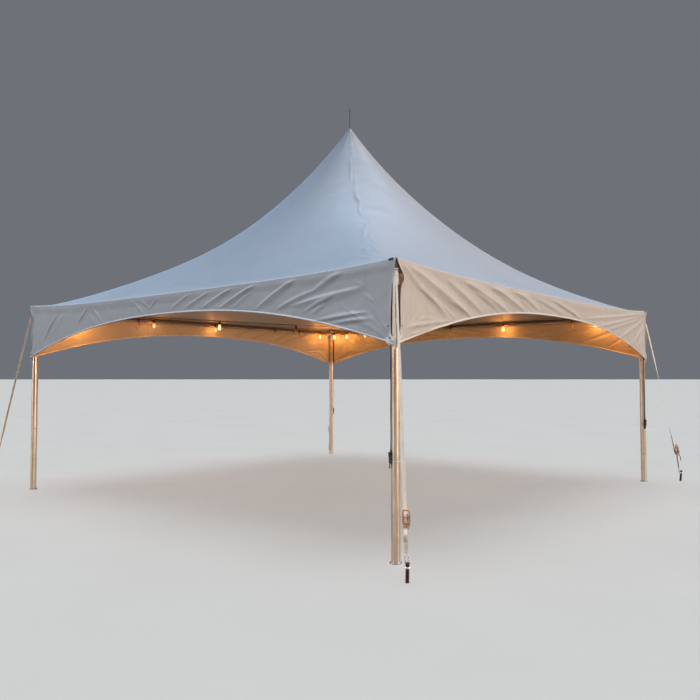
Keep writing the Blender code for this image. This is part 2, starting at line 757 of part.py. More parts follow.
def guy_ratchet_mesh():
    """Ratchet with its wound roll, short tail of webbing and hook on the stake."""
    length = guy_length()
    drum = length - RATCHET_UP
    depth = WRAP_OUTER - STRAP_THICKNESS - FIT - ROLL_WEBBING
    bar_place = drum + RATCHET_BAR_DOWN
    half_depth = ROLL_WEBBING + RATCHET_RIM
    cheek_outer = CHEEK_INNER + RATCHET_CHEEK
    cheek_middle = CHEEK_INNER + RATCHET_CHEEK / 2
    roll = cross_bar(ROLL_WEBBING, cheek_middle, drum, depth)
    bar = cross_bar(HOOK_ROD, cheek_middle, bar_place, depth)
    parts = []
    for side in (-1, 1):
        faces = sorted((side * CHEEK_INNER, side * cheek_outer))
        low = (drum - RATCHET_ABOVE, faces[0], depth - half_depth)
        high = (bar_place + RATCHET_BAR_RIM, faces[1], depth + half_depth)
        parts.append(block(low, high))
    handle_high = depth - half_depth + HANDLE_THICKNESS / 4
    handle_start = drum - RATCHET_ABOVE - HANDLE_ABOVE
    handle = block(
        (handle_start, -cheek_outer, handle_high - HANDLE_THICKNESS),
        (handle_start + HANDLE_LENGTH, cheek_outer, handle_high),
    )
    tail_end = bar_place + TAIL_LENGTH
    tail = extruded(
        [
            (bar_place, depth - TAIL_THICKNESS / 2),
            (tail_end, -TAIL_THICKNESS / 2),
            (tail_end, TAIL_THICKNESS / 2),
            (bar_place, depth + TAIL_THICKNESS / 2),
        ],
        GUY_WIDTH / 2,
    )
    hook_start = tail_end - HOOK_ROD
    hook = shift(along_x(rod(HOOK_ROD, length - hook_start, WIRE_SIDES)), x=hook_start)
    local = united(roll, *parts, handle, bar, tail, hook)
    moved(local, guy_matrix())
    stake_tilt = Matrix.Rotation(STAKE_LEAN, 4, "Y")
    ring = moved(ring_round(HOOK_RING, HOOK_ROD), Matrix.Translation(ring_centre()) @ stake_tilt)
    return united(local, ring)


def stake_mesh():
    """Steel stake above the ground, leaning out, cut level where it meets the ground."""
    neck = STAKE_HEIGHT - STAKE_HEAD_HEIGHT
    outline = [(0, 0), (STAKE_RADIUS, 0), (STAKE_RADIUS, neck), (STAKE_RADIUS + STAKE_HEAD, neck)]
    outline += [(STAKE_RADIUS + STAKE_HEAD, STAKE_HEIGHT), (0, STAKE_HEIGHT)]
    mesh = turned(outline, SMALL_SIDES)
    lean = Matrix.Translation((GUY_REACH, 0, 0)) @ Matrix.Rotation(STAKE_LEAN, 4, "Y")
    mesh.transform(lean)
    for vertex in mesh.vertices:
        if vertex.co.z < neck / 2:
            vertex.co.x -= vertex.co.z * math.tan(STAKE_LEAN)
            vertex.co.z = 0
    return mesh


# String lights


def wire_mesh(path, radius, across, closed=False):
    """Round wire along a path that lies in one plane, mitred where it bends.

    across is the direction square to that plane.
    """
    count = len(path)
    points = []
    faces = []
    for index, place_here in enumerate(path):
        before = path[index - 1] if closed or index > 0 else None
        after = path[(index + 1) % count] if closed or index < count - 1 else None
        arriving = (place_here - before).normalized() if before else (after - place_here).normalized()
        leaving = (after - place_here).normalized() if after else arriving
        sideways = (arriving + leaving).normalized().cross(across)
        stretch = 1 / sideways.dot(leaving.cross(across))
        for step in range(WIRE_SIDES):
            angle = math.tau * (step + 0.5) / WIRE_SIDES
            out = radius * math.cos(angle) * stretch
            points.append(place_here + sideways * out + across * radius * math.sin(angle))
    for index in range(count if closed else count - 1):
        for step in range(WIRE_SIDES):
            here = index * WIRE_SIDES + step
            beside = index * WIRE_SIDES + (step + 1) % WIRE_SIDES
            ahead = (here + WIRE_SIDES) % len(points)
            opposite = (beside + WIRE_SIDES) % len(points)
            faces.append((here, beside, opposite, ahead))
    if not closed:
        faces.append(tuple(range(WIRE_SIDES)))
        faces.append(tuple(range(len(points) - WIRE_SIDES, len(points))))
    return mesh_from("wire", points, faces)


def lamp_mesh(top):
    """Socket with a pear lamp below it, hanging from the given height."""
    collar = top - SOCKET_LENGTH
    foot = collar - LAMP_LENGTH
    outline = [
        (0, top),
        (SOCKET_RADIUS, top),
        (SOCKET_RADIUS, collar),
        (LAMP_COLLAR, collar),
        (LAMP_RADIUS, collar - LAMP_LENGTH * LAMP_WIDEST),
        (LAMP_TIP, foot + LAMP_TIP_RISE),
        (0, foot),
    ]
    return turned(outline, WIRE_SIDES, math.pi / WIRE_SIDES)


def cable_height(reach):
    """Height of a cable's axis at a distance from the mast."""
    span = LUG_FROM_MIDDLE - HUB_LUG_REACH
    return HUB_HEIGHT + (LUG_HEIGHT - HUB_HEIGHT) * (reach - HUB_LUG_REACH) / span


def branch_path():
    """Branch wire on the diagonal plane, out from the mast.

    It leaves the corner level, and runs below the cable once the two come together.
    """
    wire_height = BEAM_HEIGHT - WIRE_BELOW_BEAM
    slope = (LUG_HEIGHT - HUB_HEIGHT) / (LUG_FROM_MIDDLE - HUB_LUG_REACH)
    meeting = HUB_LUG_REACH + (wire_height + BRANCH_BELOW - HUB_HEIGHT) / slope
    last = min(BRANCH_LAMPS)
    start = Vector((WIRE_HALF * math.sqrt(2), 0, wire_height))
    joint = Vector((meeting, 0, wire_height))
    end = Vector((last, 0, cable_height(last) - BRANCH_BELOW))
    return [start, joint, end]


def string_lights_mesh():
    wire_height = BEAM_HEIGHT - WIRE_BELOW_BEAM
    ring = []
    for x_sign, y_sign in ((1, 1), (-1, 1), (-1, -1), (1, -1)):
        ring.append(Vector((x_sign * WIRE_HALF, y_sign * WIRE_HALF, wire_height)))
    wire = wire_mesh(ring, WIRE_RADIUS, Vector((0, 0, 1)), closed=True)
    to_front_left = Matrix.Rotation(math.pi / 4 + math.pi, 4, "Z")
    branch = moved(wire_mesh(branch_path(), BRANCH_WIRE_RADIUS, Vector((0, 1, 0))), to_front_left)
    lamps = []
    for quarter, side in enumerate(SIDE_NAMES):
        turn = Matrix.Rotation(quarter * math.pi / 2, 4, "Z")
        for share in LAMPS[side]:
            lamp = lamp_mesh(BEAM_HEIGHT + SOCKET_ABOVE_BEAM)
            shift(lamp, x=share * FRAME_HALF, y=FRAME_HALF - LAMP_IN)
            lamps.append(moved(lamp, turn))
    for reach in BRANCH_LAMPS:
        lamp = lamp_mesh(cable_height(reach) - BRANCH_BELOW)
        lamps.append(moved(shift(lamp, x=reach), to_front_left))
    return united(united(wire, branch), gathered(lamps))


def build():
    clear_scene()
    vinyl = make_material("vinyl", (0.78, 0.80, 0.83), 0.5, 0.0)
    valance_vinyl = make_material("valance_vinyl", (0.74, 0.73, 0.72), 0.55, 0.0)
    aluminium = make_material("aluminium", (0.72, 0.72, 0.73), 0.32, 1.0)
    fitting_metal = make_material("fitting_metal", (0.62, 0.63, 0.65), 0.42, 1.0)
    steel = make_material("cable_steel", (0.50, 0.50, 0.52), 0.4, 1.0)
    webbing = make_material("webbing", (0.80, 0.77, 0.70), 0.85, 0.0)
    dark_webbing = make_material("dark_webbing", (0.10, 0.10, 0.11), 0.8, 0.0)
    ratchet_metal = make_material("ratchet_metal", (0.55, 0.34, 0.20), 0.45, 1.0)
    stake_metal = make_material("stake_metal", (0.09, 0.06, 0.045), 0.75, 0.6)
    lights = make_material("string_lights", (0.85, 0.50, 0.18), 0.35, 0.0)

    roof = place("canopy_roof", roof_mesh(), vinyl)
    roof_tree = search_tree(roof.data)
    over_leg = (FRAME_HALF, FRAME_HALF)
    cap_height = lowest_over_circle(roof_tree, over_leg, SOCKET_OUTER) - FIT
    cap_mesh, mast_top = mast_cap_mesh(roof_tree)
    place("mast_cap", cap_mesh, fitting_metal)
    place("mast_tube", mast_mesh(mast_top), aluminium)
    place("mast_base", hub_mesh(), fitting_metal)
    place("string_lights", string_lights_mesh(), lights)

    at_leg = Matrix.Translation((FRAME_HALF, FRAME_HALF, 0))
    to_diagonal = at_leg @ Matrix.Rotation(math.pi / 4, 4, "Z")
    corner_pieces = {
        "leg": (moved(leg_mesh(cap_height), to_diagonal), aluminium),
        "corner_fitting": (moved(corner_fitting_mesh(cap_height), to_diagonal), fitting_metal),
        "cross_cable": (cable_mesh(), steel),
        "leg_strap": (moved(leg_strap_mesh(), to_diagonal), dark_webbing),
        "guy_strap": (moved(guy_strap_mesh(), to_diagonal @ guy_matrix()), webbing),
        "guy_ratchet": (moved(guy_ratchet_mesh(), to_diagonal), ratchet_metal),
        "stake": (moved(stake_mesh(), to_diagonal), stake_metal),
    }
    for quarter, corner in enumerate(CORNER_NAMES):
        for name, (mesh, material) in corner_pieces.items():
            place(f"{name}_{corner}", mesh, material, quarter * math.pi / 2)

    spliced = beam_mesh(True)
    plain = beam_mesh(False)
    valance = valance_mesh()
    for quarter, side in enumerate(SIDE_NAMES):
        turn = quarter * math.pi / 2
        far = SIDE_NAMES[quarter - 1]
        near = SIDE_NAMES[(quarter + 1) % 4]
        place(f"eave_beam_{side}_{far}", spliced, aluminium, turn)
        place(f"eave_beam_{side}_{near}", plain, aluminium, turn)
        place(f"valance_{side}", valance, valance_vinyl, turn)


build()
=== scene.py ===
# Marquee tent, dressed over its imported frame. Metres, +Z up, the front is -Y.
import json
import math
import random
import bmesh
import bpy
import numpy as np
from mathutils import Matrix, Vector

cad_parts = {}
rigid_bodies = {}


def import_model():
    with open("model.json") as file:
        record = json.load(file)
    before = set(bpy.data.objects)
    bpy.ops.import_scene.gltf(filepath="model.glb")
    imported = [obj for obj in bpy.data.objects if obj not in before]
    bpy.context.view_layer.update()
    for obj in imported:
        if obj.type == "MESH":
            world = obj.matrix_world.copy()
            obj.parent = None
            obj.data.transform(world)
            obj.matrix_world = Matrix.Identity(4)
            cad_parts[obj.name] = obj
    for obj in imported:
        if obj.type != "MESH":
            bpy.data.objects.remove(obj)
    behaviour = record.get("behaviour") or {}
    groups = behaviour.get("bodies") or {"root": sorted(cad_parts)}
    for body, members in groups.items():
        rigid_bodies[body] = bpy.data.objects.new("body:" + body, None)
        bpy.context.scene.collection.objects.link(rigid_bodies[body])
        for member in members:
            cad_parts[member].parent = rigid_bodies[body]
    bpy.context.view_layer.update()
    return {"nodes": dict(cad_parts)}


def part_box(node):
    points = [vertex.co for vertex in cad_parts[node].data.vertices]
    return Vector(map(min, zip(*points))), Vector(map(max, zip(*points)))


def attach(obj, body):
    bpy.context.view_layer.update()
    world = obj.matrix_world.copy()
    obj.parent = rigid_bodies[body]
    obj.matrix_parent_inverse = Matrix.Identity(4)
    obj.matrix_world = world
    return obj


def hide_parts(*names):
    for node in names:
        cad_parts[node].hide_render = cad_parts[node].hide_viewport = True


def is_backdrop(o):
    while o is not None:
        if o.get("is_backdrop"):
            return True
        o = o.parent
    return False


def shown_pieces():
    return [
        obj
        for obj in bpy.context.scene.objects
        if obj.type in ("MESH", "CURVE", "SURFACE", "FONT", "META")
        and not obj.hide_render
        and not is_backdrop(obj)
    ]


for thing in list(bpy.data.objects):
    bpy.data.objects.remove(thing, do_unlink=True)
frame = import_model()
print("frame loaded:", len(frame["nodes"]), "nodes")

sideNames = ("back", "left", "front", "right")
cornerNames = ("back_right", "back_left", "front_left", "front_right")

# sizes that the frame fixes
tent = {
    "half": 3.0,
    "edge": 3.05,  # the eave, out from the middle
    "beamHeight": 2.36,
    "beamRadius": 0.03175,
    "legRadius": 0.0381,
    "socketRadius": 0.042,
    "armRadius": 0.03565,
    "hubHeight": 2.185,  # where a cable is pinned at the mast
    "hubReach": 0.0723,
    "lugHeight": 2.392,  # where it is pinned at the corner
    "lugReach": 4.1376,
    "eyeReach": 0.0538,  # the guy's pin, out from the leg's axis
    "fit": 0.0003,
}


def turned(angle, axis="Z"):
    return Matrix.Rotation(angle, 4, axis)


def shifted(x, y, z):
    return Matrix.Translation((x, y, z))


def sideMatrix(quarter):
    return turned(quarter * math.pi / 2)


def cornerMatrix(quarter):
    # leg axis is Z, the diagonal out of the tent is +X
    return sideMatrix(quarter) @ shifted(tent["half"], tent["half"], 0) @ turned(math.pi / 4)


def sideArray(quarter):
    return np.array(sideMatrix(quarter).to_3x3()).T


def fullTurn(count):
    return np.linspace(0, math.tau, count, endpoint=False)


def travelled(path):
    # distance along a path at each of its points
    return np.concatenate([[0], np.cumsum(np.linalg.norm(np.diff(path, axis=0), axis=1))])


# mesh helpers: each gives one bit, and makePiece joins bits into an object
def gridBit(points, uv, wrapRows=False, wrapCols=False, material=0):
    rows, cols = points.shape[:2]
    spans = np.arange(rows if wrapRows else rows - 1), np.arange(cols if wrapCols else cols - 1)
    row, col = np.meshgrid(*spans, indexing="ij")
    here, below = row * cols, (row + 1) % rows * cols
    after = (col + 1) % cols
    faces = np.stack([here + col, here + after, below + after, below + col], -1).reshape(-1, 4)
    uvs = np.stack([uv[row, col], uv[row, col + 1], uv[row + 1, col + 1], uv[row + 1, col]], 2)
    points, uvs = points.reshape(-1, 3), uvs.reshape(-1, 2)
    return {"points": points, "faces": faces.tolist(), "uvs": uvs, "material": material}


def movedBit(bit, matrix):
    return {**bit, "points": bit["points"] @ np.array(matrix.to_3x3()).T + np.array(matrix.translation)}


def movedBits(bits, matrix):
    return [movedBit(bit, matrix) for bit in bits]


def capBit(bit, corners):
    # closes an end of a swept or turned bit
    bit["faces"].append(list(corners))
    bit["uvs"] = np.concatenate([bit["uvs"], np.zeros((len(corners), 2))])


def softened(profile, size, steps=2):
    # rounds the corners of an outline
    profile = [np.array(p, float) for p in profile]
    result = [profile[0]]
    for before, here, after in zip(profile, profile[1:], profile[2:]):
        back, ahead = before - here, after - here
        backLong, aheadLong = np.linalg.norm(back), np.linalg.norm(ahead)
        reach = min(size, backLong * 0.45, aheadLong * 0.45)
        first, last = here + back / max(backLong, 1e-9) * reach, here + ahead / max(aheadLong, 1e-9) * reach
        for share in np.arange(steps + 1) / steps:
            result.append((1 - share) ** 2 * first + 2 * share * (1 - share) * here + share**2 * last)
    return result + [profile[-1]]


def smoothPath(points, count):
    # smooth curve through points
    points = np.array(points, float)
    ends = np.concatenate([[2 * points[0] - points[1]], points, [2 * points[-1] - points[-2]]])
    result = []
    for place in np.linspace(0, len(points) - 1, count):
        index = min(int(place), len(points) - 2)
        t = place - index
        a, b, c, d = ends[index : index + 4]
        curve = 2 * b + (c - a) * t + (2 * a - 5 * b + 4 * c - d) * t**2 + (3 * b - a - 3 * c + d) * t**3
        result.append(0.5 * curve)
    return np.array(result)


def turnedBit(profile, sides=48, matrix=None, material=0, ease=0, steps=2):
    # (radius, height) outline turned about Z, its corners eased
    profile = np.array(softened(profile, ease, steps) if ease else profile, float)
    angle, wide = fullTurn(sides), profile[:, :1]
    high = np.repeat(profile[:, 1:], sides, axis=1)
    points = np.stack([wide * np.cos(angle), wide * np.sin(angle), high], -1)
    around = np.linspace(0, math.tau, sides + 1) * max(wide.max(), 1e-6)
    uv = np.stack(np.meshgrid(around, travelled(profile)), -1)
    bit = gridBit(points, uv, wrapCols=True, material=material)
    return movedBit(bit, matrix) if matrix else bit


def circleRing(radius, sides=12):
    angle = fullTurn(sides)
    return np.stack([radius * np.cos(angle), radius * np.sin(angle)], -1)


def circlePath(radius, count, height=0.0):
    return np.column_stack([circleRing(radius, count), np.full(count, height)])


def flatRing(width, thickness):
    # section of a webbing strap, a little thinner at its edges
    half, thick = width / 2, thickness / 2
    upper = [(-half, 0), (-half * 0.97, thick * 0.6), (-half * 0.88, thick * 0.95), (-half * 0.4, thick)]
    upper += [(0, thick), (half * 0.4, thick), (half * 0.88, thick * 0.95), (half * 0.97, thick * 0.6)]
    return np.array(upper + [(-x, -y) for x, y in upper])


def sweptBit(path, ring, side=None, scale=None, closed=False, twist=0.0, material=0, smooth=0):
    # smooth is how many places a curve through the path's points gets
    path, ring = np.array(smoothPath(path, smooth) if smooth else path, float), np.array(ring, float)
    along = np.roll(path, -1, 0) - np.roll(path, 1, 0) if closed else np.gradient(path, axis=0)
    along /= np.linalg.norm(along, axis=1, keepdims=True)
    if side is not None:
        side = np.broadcast_to(np.array(side, float), along.shape)
        across = side - np.sum(side * along, 1, keepdims=True) * along
    else:
        across = np.zeros_like(along)
        across[0] = np.cross(along[0], np.eye(3)[np.argmin(np.abs(along[0]))])
        for index in range(1, len(path)):
            last = across[index - 1]
            across[index] = last - last.dot(along[index]) * along[index]
    across /= np.linalg.norm(across, axis=1, keepdims=True)
    up = np.cross(along, across)
    travel = travelled(path)
    turn = (twist * travel)[:, None]
    x = ring[None, :, 0] * np.cos(turn) - ring[None, :, 1] * np.sin(turn)
    y = ring[None, :, 0] * np.sin(turn) + ring[None, :, 1] * np.cos(turn)
    if scale is not None:
        x, y = x * np.array(scale)[:, None], y * np.array(scale)[:, None]
    points = path[:, None] + x[..., None] * across[:, None] + y[..., None] * up[:, None]
    if closed:
        travel = np.append(travel, travel[-1] + np.linalg.norm(path[0] - path[-1]))
    uv = np.stack(np.meshgrid(travelled(np.concatenate([ring, ring[:1]])), travel), -1)
    bit = gridBit(points, uv, wrapRows=closed, wrapCols=True, material=material)
    if not closed:
        capBit(bit, range(len(ring)))
        capBit(bit, range((len(path) - 1) * len(ring), len(path) * len(ring)))
    return bit


def rodBit(path, radius, sides=10, squash=(1, 1), **ways):
    return sweptBit(path, circleRing(radius, sides) * np.array(squash), **ways)


def strapBit(path, width, thick, side=(0, 1, 0), **ways):
    return sweptBit(path, flatRing(width, thick), side, **ways)


def pinBit(x, z, reach, radius, sides, material=1):
    # a plain pin across Y
    return rodBit([(x, y, z) for y in (-reach, 0, reach)], radius, sides, material=material)


def plateBit(outline, thickness, matrix=None, edge=0.0008, material=0):
    # plate with an (x, z) outline, spread along Y, with eased edges
    outline = np.array(outline, float)
    middle = outline.mean(0)
    size = np.linalg.norm(outline - middle, axis=1).mean()
    inner = middle + (outline - middle) * (1 - edge / size)
    half = thickness / 2
    layers = [(inner, -half), (outline, -half + edge), (outline, half - edge), (inner, half)]
    points = np.array([[(x, y, z) for x, z in ring] for ring, y in layers])
    around = travelled(np.concatenate([outline, outline[:1]]))
    uv = np.stack(np.meshgrid(around, [0, edge, thickness - edge, thickness]), -1)
    bit = gridBit(points, uv, wrapCols=True, material=material)
    for layer in (0, 3):
        capBit(bit, range(layer * len(outline), (layer + 1) * len(outline)))
    return movedBit(bit, matrix) if matrix else bit


def boltBit(place, direction, size=0.012, material=0):
    # hex head on a washer, standing on the given place
    matrix = Matrix.Translation(place) @ Vector(direction).to_track_quat("Z", "Y").to_matrix().to_4x4()
    washer = [(0, 0), (0.95, 0), (0.95, 0.18), (0, 0.18)]
    head = [(0, 0.18), (0.6, 0.18), (0.6, 0.62), (0.5, 0.74), (0, 0.74)]
    return [
        turnedBit(np.array(washer) * size, 20, matrix, material, 0.0005),
        turnedBit(np.array(head) * size, 6, matrix, material),
    ]


def framedPath(corners, shares):
    # places along the sides of a closed loop
    corners = np.array(corners, float)
    sides = zip(corners, np.roll(corners, -1, 0))
    return [here + (after - here) * share for here, after in sides for share in shares]


def makePiece(name, bits, materials, replaces=(), smooth=38, values=None, tidy=True):
    points = np.concatenate([bit["points"] for bit in bits])
    faces, slots, base = [], [], 0
    for bit in bits:
        faces += [[corner + base for corner in face] for face in bit["faces"]]
        slots += [bit["material"]] * len(bit["faces"])
        base += len(bit["points"])
    mesh = bpy.data.meshes.new(name)
    mesh.from_pydata(points.tolist(), [], faces)
    mesh.polygons.foreach_set("material_index", slots)
    uvs = np.concatenate([bit["uvs"] for bit in bits])
    mesh.uv_layers.new(name="run").data.foreach_set("uv", uvs.ravel())
    for label, numbers in (values or {}).items():
        layer = mesh.attributes.new(label, "FLOAT", "POINT")
        layer.data.foreach_set("value", np.asarray(numbers, float).ravel())
    if tidy:
        shape = bmesh.new()
        shape.from_mesh(mesh)
        bmesh.ops.remove_doubles(shape, verts=shape.verts, dist=0.000004)
        bmesh.ops.recalc_face_normals(shape, faces=shape.faces)
        shape.to_mesh(mesh)
        shape.free()
    mesh.shade_smooth()
    mesh.set_sharp_from_angle(angle=math.radians(smooth))
    for material in materials:
        mesh.materials.append(material)
    piece = bpy.data.objects.new(name, mesh)
    bpy.context.scene.collection.objects.link(piece)
    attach(piece, "root")
    if replaces:
        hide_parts(*replaces)
    return piece


def atCorners(name, bits, materials, node=None):
    # the same piece at each leg; node is what its name in the frame starts with
    for quarter, corner in enumerate(cornerNames):
        placed = movedBits(bits, cornerMatrix(quarter))
        makePiece(name + corner, placed, materials, [node + corner] if node else ())


def thickened(piece, thickness):
    # gives a sheet its thickness; what is returned is the sheet's own area
    area = sum(polygon.area for polygon in piece.data.polygons)
    solid = piece.modifiers.new("thickness", "SOLIDIFY")
    solid.thickness, solid.offset = thickness, 0.0
    return area


def softNoise(seed, *axes):
    # smooth waves in any direction, about -1 to 1
    dice = random.Random(seed)
    total = 0.0
    for _ in range(7):
        inside = dice.uniform(0, math.tau)
        for axis in axes:
            inside = inside + axis * dice.uniform(-1, 1) * dice.choice((2.0, 3.2, 5.0))
        total = total + np.sin(inside)
    return total / 3.2


def smoothStep(value, low, high):
    share = np.clip((value - low) / (high - low), 0, 1)
    return share * share * (3 - 2 * share)


def besideLine(across, down, start, end):
    # how high a fold between two places arches, and how far off its line each place lies
    runX, runY = end[0] - start[0], end[1] - start[1]
    length = math.hypot(runX, runY)
    along = ((across - start[0]) * runX + (down - start[1]) * runY) / length**2
    off = ((across - start[0]) * runY - (down - start[1]) * runX) / length
    return np.clip(1 - (2 * along - 1) ** 2, 0, 1), off


def ridge(across, down, start, end, height, width, bow=0.0, skew=1.0):
    # one soft fold, steeper on one side if skew isn't 1
    arch, off = besideLine(across, down, start, end)
    off = off - bow * arch
    wide = np.where(off > 0, width * skew, width / skew)
    return height * arch**0.6 * np.exp(-((off / wide) ** 2))


def crease(across, down, start, end, height, above, below):
    # a fold with a sharp crest; above and below are how far its two flanks reach
    arch, off = besideLine(across, down, start, end)
    off = off * math.copysign(1, end[0] - start[0]) - 0.010 * arch
    reach = np.where(off > 0, above, below) * (0.3 + 0.7 * arch)
    return height * arch**0.7 * np.clip(1 - np.abs(off) / reach, 0, 1) ** 1.35


# material helpers
def plugged(tree, socket, value):
    # links a node's output, or sets a plain value
    if isinstance(value, bpy.types.NodeSocket):
        tree.links.new(value, socket)
    else:
        socket.default_value = value


def putNode(tree, kind, sockets=None, **settings):
    made = tree.nodes.new("ShaderNode" + kind)
    for key, value in settings.items():
        setattr(made, key, value)
    for key, value in (sockets or {}).items():
        plugged(tree, made.inputs[key], value)
    return made


def startMaterial(name):
    material = bpy.data.materials.new(name)
    material.use_nodes = True
    coords = putNode(material.node_tree, "TexCoord").outputs
    return material, material.node_tree, coords["Object"], coords["UV"]


def finished(material, sockets):
    shader = material.node_tree.nodes["Principled BSDF"]
    for key, value in sockets.items():
        plugged(material.node_tree, shader.inputs[key], value)
    return material


def scaled(tree, vector, scale):
    return putNode(tree, "Mapping", {"Vector": vector, "Scale": scale}).outputs["Vector"]


def noiseOf(tree, vector, scale, detail=4.0, rough=0.5, twist=0.0):
    sockets = {"Vector": vector, "Scale": scale, "Detail": detail, "Roughness": rough, "Distortion": twist}
    return putNode(tree, "TexNoise", sockets).outputs["Fac"]


def waveOf(tree, vector, scale, way, **sockets):
    sockets = {"Vector": vector, "Scale": scale, **sockets}
    return putNode(tree, "TexWave", sockets, bands_direction=way).outputs["Fac"]


def spread(tree, factor, low, high, toLow=0.0, toHigh=1.0):
    sockets = {"Value": factor, "From Min": low, "From Max": high, "To Min": toLow, "To Max": toHigh}
    return putNode(tree, "MapRange", sockets).outputs["Result"]


def blended(tree, factor, first, second, way="MIX"):
    mix = putNode(tree, "Mix", data_type="RGBA", blend_type=way)
    for index, value in ((0, factor), (6, first), (7, second)):
        plugged(tree, mix.inputs[index], (*value, 1.0) if isinstance(value, tuple) else value)
    return mix.outputs[2]


def worked(tree, first, second, how="MULTIPLY"):
    return putNode(tree, "Math", {0: first, 1: second}, operation=how).outputs[0]


def bumped(tree, height, strength, distance, before=None):
    sockets = {"Height": height, "Strength": strength, "Distance": distance}
    if before:
        sockets["Normal"] = before
    return putNode(tree, "Bump", sockets).outputs["Normal"]


def vinylMaterial(name, look):
    material, tree, place, run = startMaterial(name)
    wear = putNode(tree, "Attribute", attribute_name="wear").outputs["Fac"]
    cloud = spread(tree, noiseOf(tree, place, 0.8, 5.0, 0.6), 0.35, 0.7)
    drip = spread(tree, noiseOf(tree, scaled(tree, place, (7, 7, 0.9)), 1.6, 4.0, 0.6), 0.5, 0.85)
    patch = spread(tree, noiseOf(tree, place, 11.0, 6.0, 0.65), 0.38, 0.7)
    colour = blended(tree, worked(tree, cloud, 0.6), look["clean"], look["shade"])
    colour = blended(tree, worked(tree, drip, look["streaks"]), colour, look["grime"])
    colour = blended(tree, worked(tree, worked(tree, patch, wear), look["wornEdges"]), colour, look["grime"])
    smears, gloss = noiseOf(tree, place, 5.0, 5.0, 0.6), look["gloss"]
    sheen = spread(tree, smears, 0.3, 0.7, gloss - 0.07, gloss + 0.09)
    threads = [waveOf(tree, run, look["threads"], way) for way in "XY"]
    normal = bumped(tree, noiseOf(tree, place, 3.4, 7.0, 0.58, 0.6), look["crinkle"], 0.035)
    normal = bumped(tree, worked(tree, *threads, "MAXIMUM"), 0.12, 0.0006, normal)
    return finished(material, {"Base Color": colour, "Roughness": sheen, "Normal": normal})


def metalMaterial(name, look):
    # streaks run along the piece; on the aluminium tubes the light and dark streaks are painted reflections
    material, tree, place, run = startMaterial(name)
    lines = noiseOf(tree, scaled(tree, run, (look["across"], look["along"], 1)), 1.0, 6.0, 0.62)
    spots = spread(tree, noiseOf(tree, place, look["spots"], 5.0, 0.6), 0.52, 0.72)
    colour = blended(tree, spread(tree, lines, 0.32, 0.68), look["dark"], look["light"])
    colour = blended(tree, worked(tree, spots, look["stained"]), colour, look["stain"])
    streaks, gloss = noiseOf(tree, scaled(tree, run, (60, 3, 1)), 2.0, 4.0), look["gloss"]
    scratch = noiseOf(tree, scaled(tree, run, (400, 9, 1)), 1.0, 3.0)
    return finished(material, {
        "Base Color": colour,
        "Metallic": look.get("metallic", 1.0),
        "Roughness": spread(tree, streaks, 0.3, 0.7, gloss - 0.06, gloss + 0.1),
        "Normal": bumped(tree, scratch, look["relief"], 0.0006),
    })


def galvanisedMaterial(name, look):
    material, tree, place, _ = startMaterial(name)
    flakes = putNode(tree, "TexVoronoi", {"Vector": place, "Scale": look["flakes"]}).outputs["Color"]
    grey = putNode(tree, "RGBToBW", {"Color": flakes}).outputs[0]
    stains = spread(tree, noiseOf(tree, place, 16.0, 6.0, 0.7), 0.5, 0.75)
    colour = blended(tree, spread(tree, grey, 0.1, 0.9), look["dark"], look["light"])
    return finished(material, {
        "Base Color": blended(tree, worked(tree, stains, look["stained"]), colour, look["stain"]),
        "Metallic": 0.92,
        "Roughness": spread(tree, grey, 0.0, 1.0, look["gloss"] - 0.08, look["gloss"] + 0.12),
        "Normal": bumped(tree, noiseOf(tree, place, 90.0, 4.0), 0.25, 0.0008),
    })


def webbingMaterial(name, look):
    material, tree, place, run = startMaterial(name)
    weft = waveOf(tree, run, 90.0, "Y", Distortion=1.5, Detail=2.0)
    used = spread(tree, noiseOf(tree, place, 14.0, 5.0, 0.6), 0.3, 0.75)
    colour = blended(tree, used, look["clean"], look["worn"])
    return finished(material, {
        "Base Color": blended(tree, worked(tree, weft, look["lines"]), colour, look["dark"]),
        "Roughness": look["gloss"],
        "Normal": bumped(tree, waveOf(tree, run, 140.0, "X"), 0.35, 0.0005, bumped(tree, weft, 0.5, 0.0008)),
    })


def rustMaterial(name, look):
    material, tree, place, _ = startMaterial(name)
    scale = noiseOf(tree, place, 38.0, 8.0, 0.68)
    flecks = spread(tree, noiseOf(tree, place, 120.0, 4.0), 0.6, 0.75)
    colour = blended(tree, spread(tree, scale, 0.35, 0.65), look["dark"], look["rust"])
    return finished(material, {
        "Base Color": blended(tree, worked(tree, flecks, 0.5), colour, look["fresh"]),
        "Roughness": 0.82,
        "Metallic": 0.15,
        "Normal": bumped(tree, scale, 0.8, 0.003),
    })


def mouldedMaterial(name, look):
    # moulded plastic and rubber
    material, tree, place, _ = startMaterial(name)
    speckle = noiseOf(tree, place, 45.0, 6.0, 0.6)
    return finished(material, {
        "Base Color": blended(tree, spread(tree, speckle, 0.35, 0.7), look["base"], look["dusty"]),
        "Roughness": spread(tree, speckle, 0.3, 0.7, look["gloss"] - 0.08, look["gloss"] + 0.15),
        "Normal": bumped(tree, noiseOf(tree, place, 400.0, 2.0), 0.3, 0.0003),
    })


